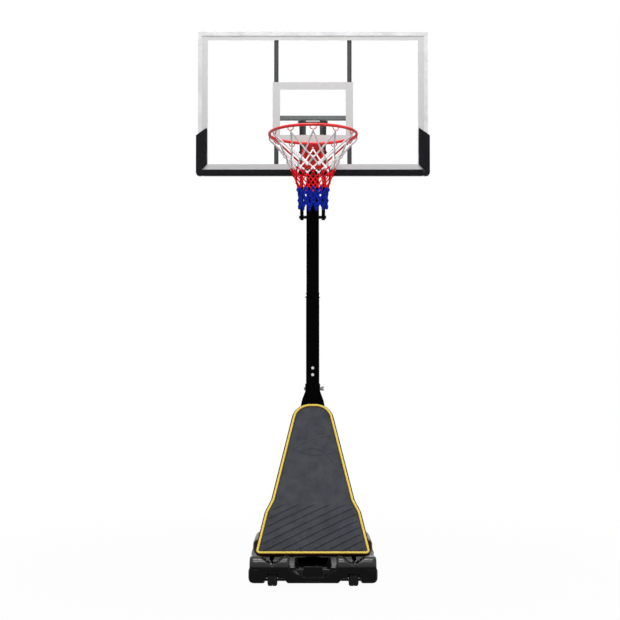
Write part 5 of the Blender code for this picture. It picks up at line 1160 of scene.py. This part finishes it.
def make_tank(paint):
    """The tank's skin: the moulded corners of a blown shell, rounded most on the front housings."""
    made = new_object("tank_shell", NODES["base_tank"].data.copy())
    even_skin(made, TANK_VOXEL)
    apply_modifiers(made)
    points = vectors_of(made.data.vertices)
    ahead = steps_between(-points[:, 1], HOUSING_AHEAD, HOUSING_AHEAD + HOUSING_FADE)
    above = steps_between(points[:, 2], HOUSING_Z, HOUSING_Z + HOUSING_FADE)
    outside = steps_between(np.abs(points[:, 0]), HOUSING_X, HOUSING_X + HOUSING_FADE)
    group = made.vertex_groups.new(name="housings")
    for i, weight in enumerate(ahead * above * outside):
        if weight > 0.0:
            group.add([i], float(weight), "REPLACE")
    ease(made, HOUSING_SMOOTH, group.name)
    ease(made, TANK_SMOOTH)
    thin_out(made, TANK_KEPT)
    apply_modifiers(made)
    wear(made, paint["base"])
    made.data.shade_smooth()
    hold(made, "base", ["base_tank"])


def make_pads(paint):
    """Foam pads with full round edges, from the solids' own outlines."""
    for node in ("board_pad_left", "board_pad_right", "board_pad_bottom"):
        made = new_object(node.replace("board_pad", "foam_pad"), NODES[node].data.copy())
        even_skin(made, PAD_VOXEL)
        ease(made, PAD_SMOOTH)
        thin_out(made, PAD_KEPT)
        apply_modifiers(made)
        for vertex in made.data.vertices:
            vertex.co.y += PAD_DIMPLE * noise.noise(vertex.co * PAD_DIMPLE_SCALE)
        wear(made, paint["pad"])
        made.data.shade_smooth()
        hold(made, "backboard", [node])


def seen_directly(tree):
    """One where the camera, a gloss or a clear sheet sees the surface, and nought elsewhere."""
    path = tree.nodes.new("ShaderNodeLightPath")
    total = path.outputs["Is Camera Ray"]
    for name in ("Is Glossy Ray", "Is Transmission Ray"):
        total = math_node(tree, "MAXIMUM", total, path.outputs[name])
    return total


def stage_material(name):
    """White wherever the camera, glass or gloss looks, with the floor's own soft shadow kept."""
    made = bpy.data.materials.new(name)
    made.use_nodes = True
    tree = made.node_tree
    tree.nodes.clear()
    output = tree.nodes.new("ShaderNodeOutputMaterial")
    matt = tree.nodes.new("ShaderNodeBsdfDiffuse")
    matt.inputs["Color"].default_value = FLOOR_GREY
    white = tree.nodes.new("ShaderNodeEmission")
    place = tree.nodes.new("ShaderNodeTexCoord")
    away = tree.nodes.new("ShaderNodeVectorMath")
    away.operation = "LENGTH"
    tree.links.new(place.outputs["Object"], away.inputs[0])
    glow = range_node(tree, away.outputs["Value"], FLOOR_GLOW, 1.0, SHADOW_NEAR, SHADOW_FAR)
    mix = tree.nodes.new("ShaderNodeMixShader")
    tree.links.new(math_node(tree, "MULTIPLY", seen_directly(tree), glow), mix.inputs["Fac"])
    tree.links.new(matt.outputs[0], mix.inputs[1])
    tree.links.new(white.outputs[0], mix.inputs[2])
    tree.links.new(mix.outputs[0], output.inputs["Surface"])
    return made


def make_stage():
    """The floor that the stand's soft shadow falls on."""
    mesh = bpy.data.meshes.new("floor")
    corners = [(x * FLOOR_REACH, y * FLOOR_REACH, 0) for x, y in ((-1, -1), (1, -1), (1, 1), (-1, 1))]
    mesh.from_pydata(corners, [], [(0, 1, 2, 3)])
    mesh.materials.append(stage_material("studio_floor"))
    floor = new_object("floor", mesh)


def area_light(name, place, target, size, power):
    data = bpy.data.lights.new(name, "AREA")
    data.shape = "RECTANGLE"
    data.size, data.size_y = size
    data.energy = power
    lamp = new_object(name, data)
    lamp.location = place
    lamp.rotation_euler = (Vector(target) - Vector(place)).to_track_quat("-Z", "Y").to_euler()


def make_light():
    """Four soft lamps, and a studio that looks white but lights the stand less."""
    for lamp in LAMPS:
        area_light(*lamp)
    world = bpy.data.worlds.new("studio")
    bpy.context.scene.world = world
    world.use_nodes = True
    tree = world.node_tree
    shade = tree.nodes["Background"]
    shade.inputs["Color"].default_value = (1.0, 1.0, 1.0, 1.0)
    strength = range_node(tree, seen_directly(tree), WORLD_LIGHT, 1.0)
    tree.links.new(strength, shade.inputs["Strength"])


def main():
    make_camera()
    paint = make_materials()
    dress_nodes(paint)
    make_cushion(paint)
    make_trim(paint)
    make_ring(paint)
    make_net(paint, "white", WHITE_ROWS, parity=0, cord_radius=WHITE_CORD, sag=0.004, top_loops=True)
    make_net(paint, "red", RED_ROWS, parity=1, cord_radius=RED_CORD, sag=0.001)
    make_net(paint, "blue", BLUE_ROWS, parity=0, cord_radius=BLUE_CORD)
    make_struts(paint)
    make_wing_bolt(paint)
    make_wheels(paint)
    make_tank(paint)
    make_pads(paint)
    make_stage()
    make_light()
    bpy.context.scene.view_settings.view_transform = "Standard"


main()
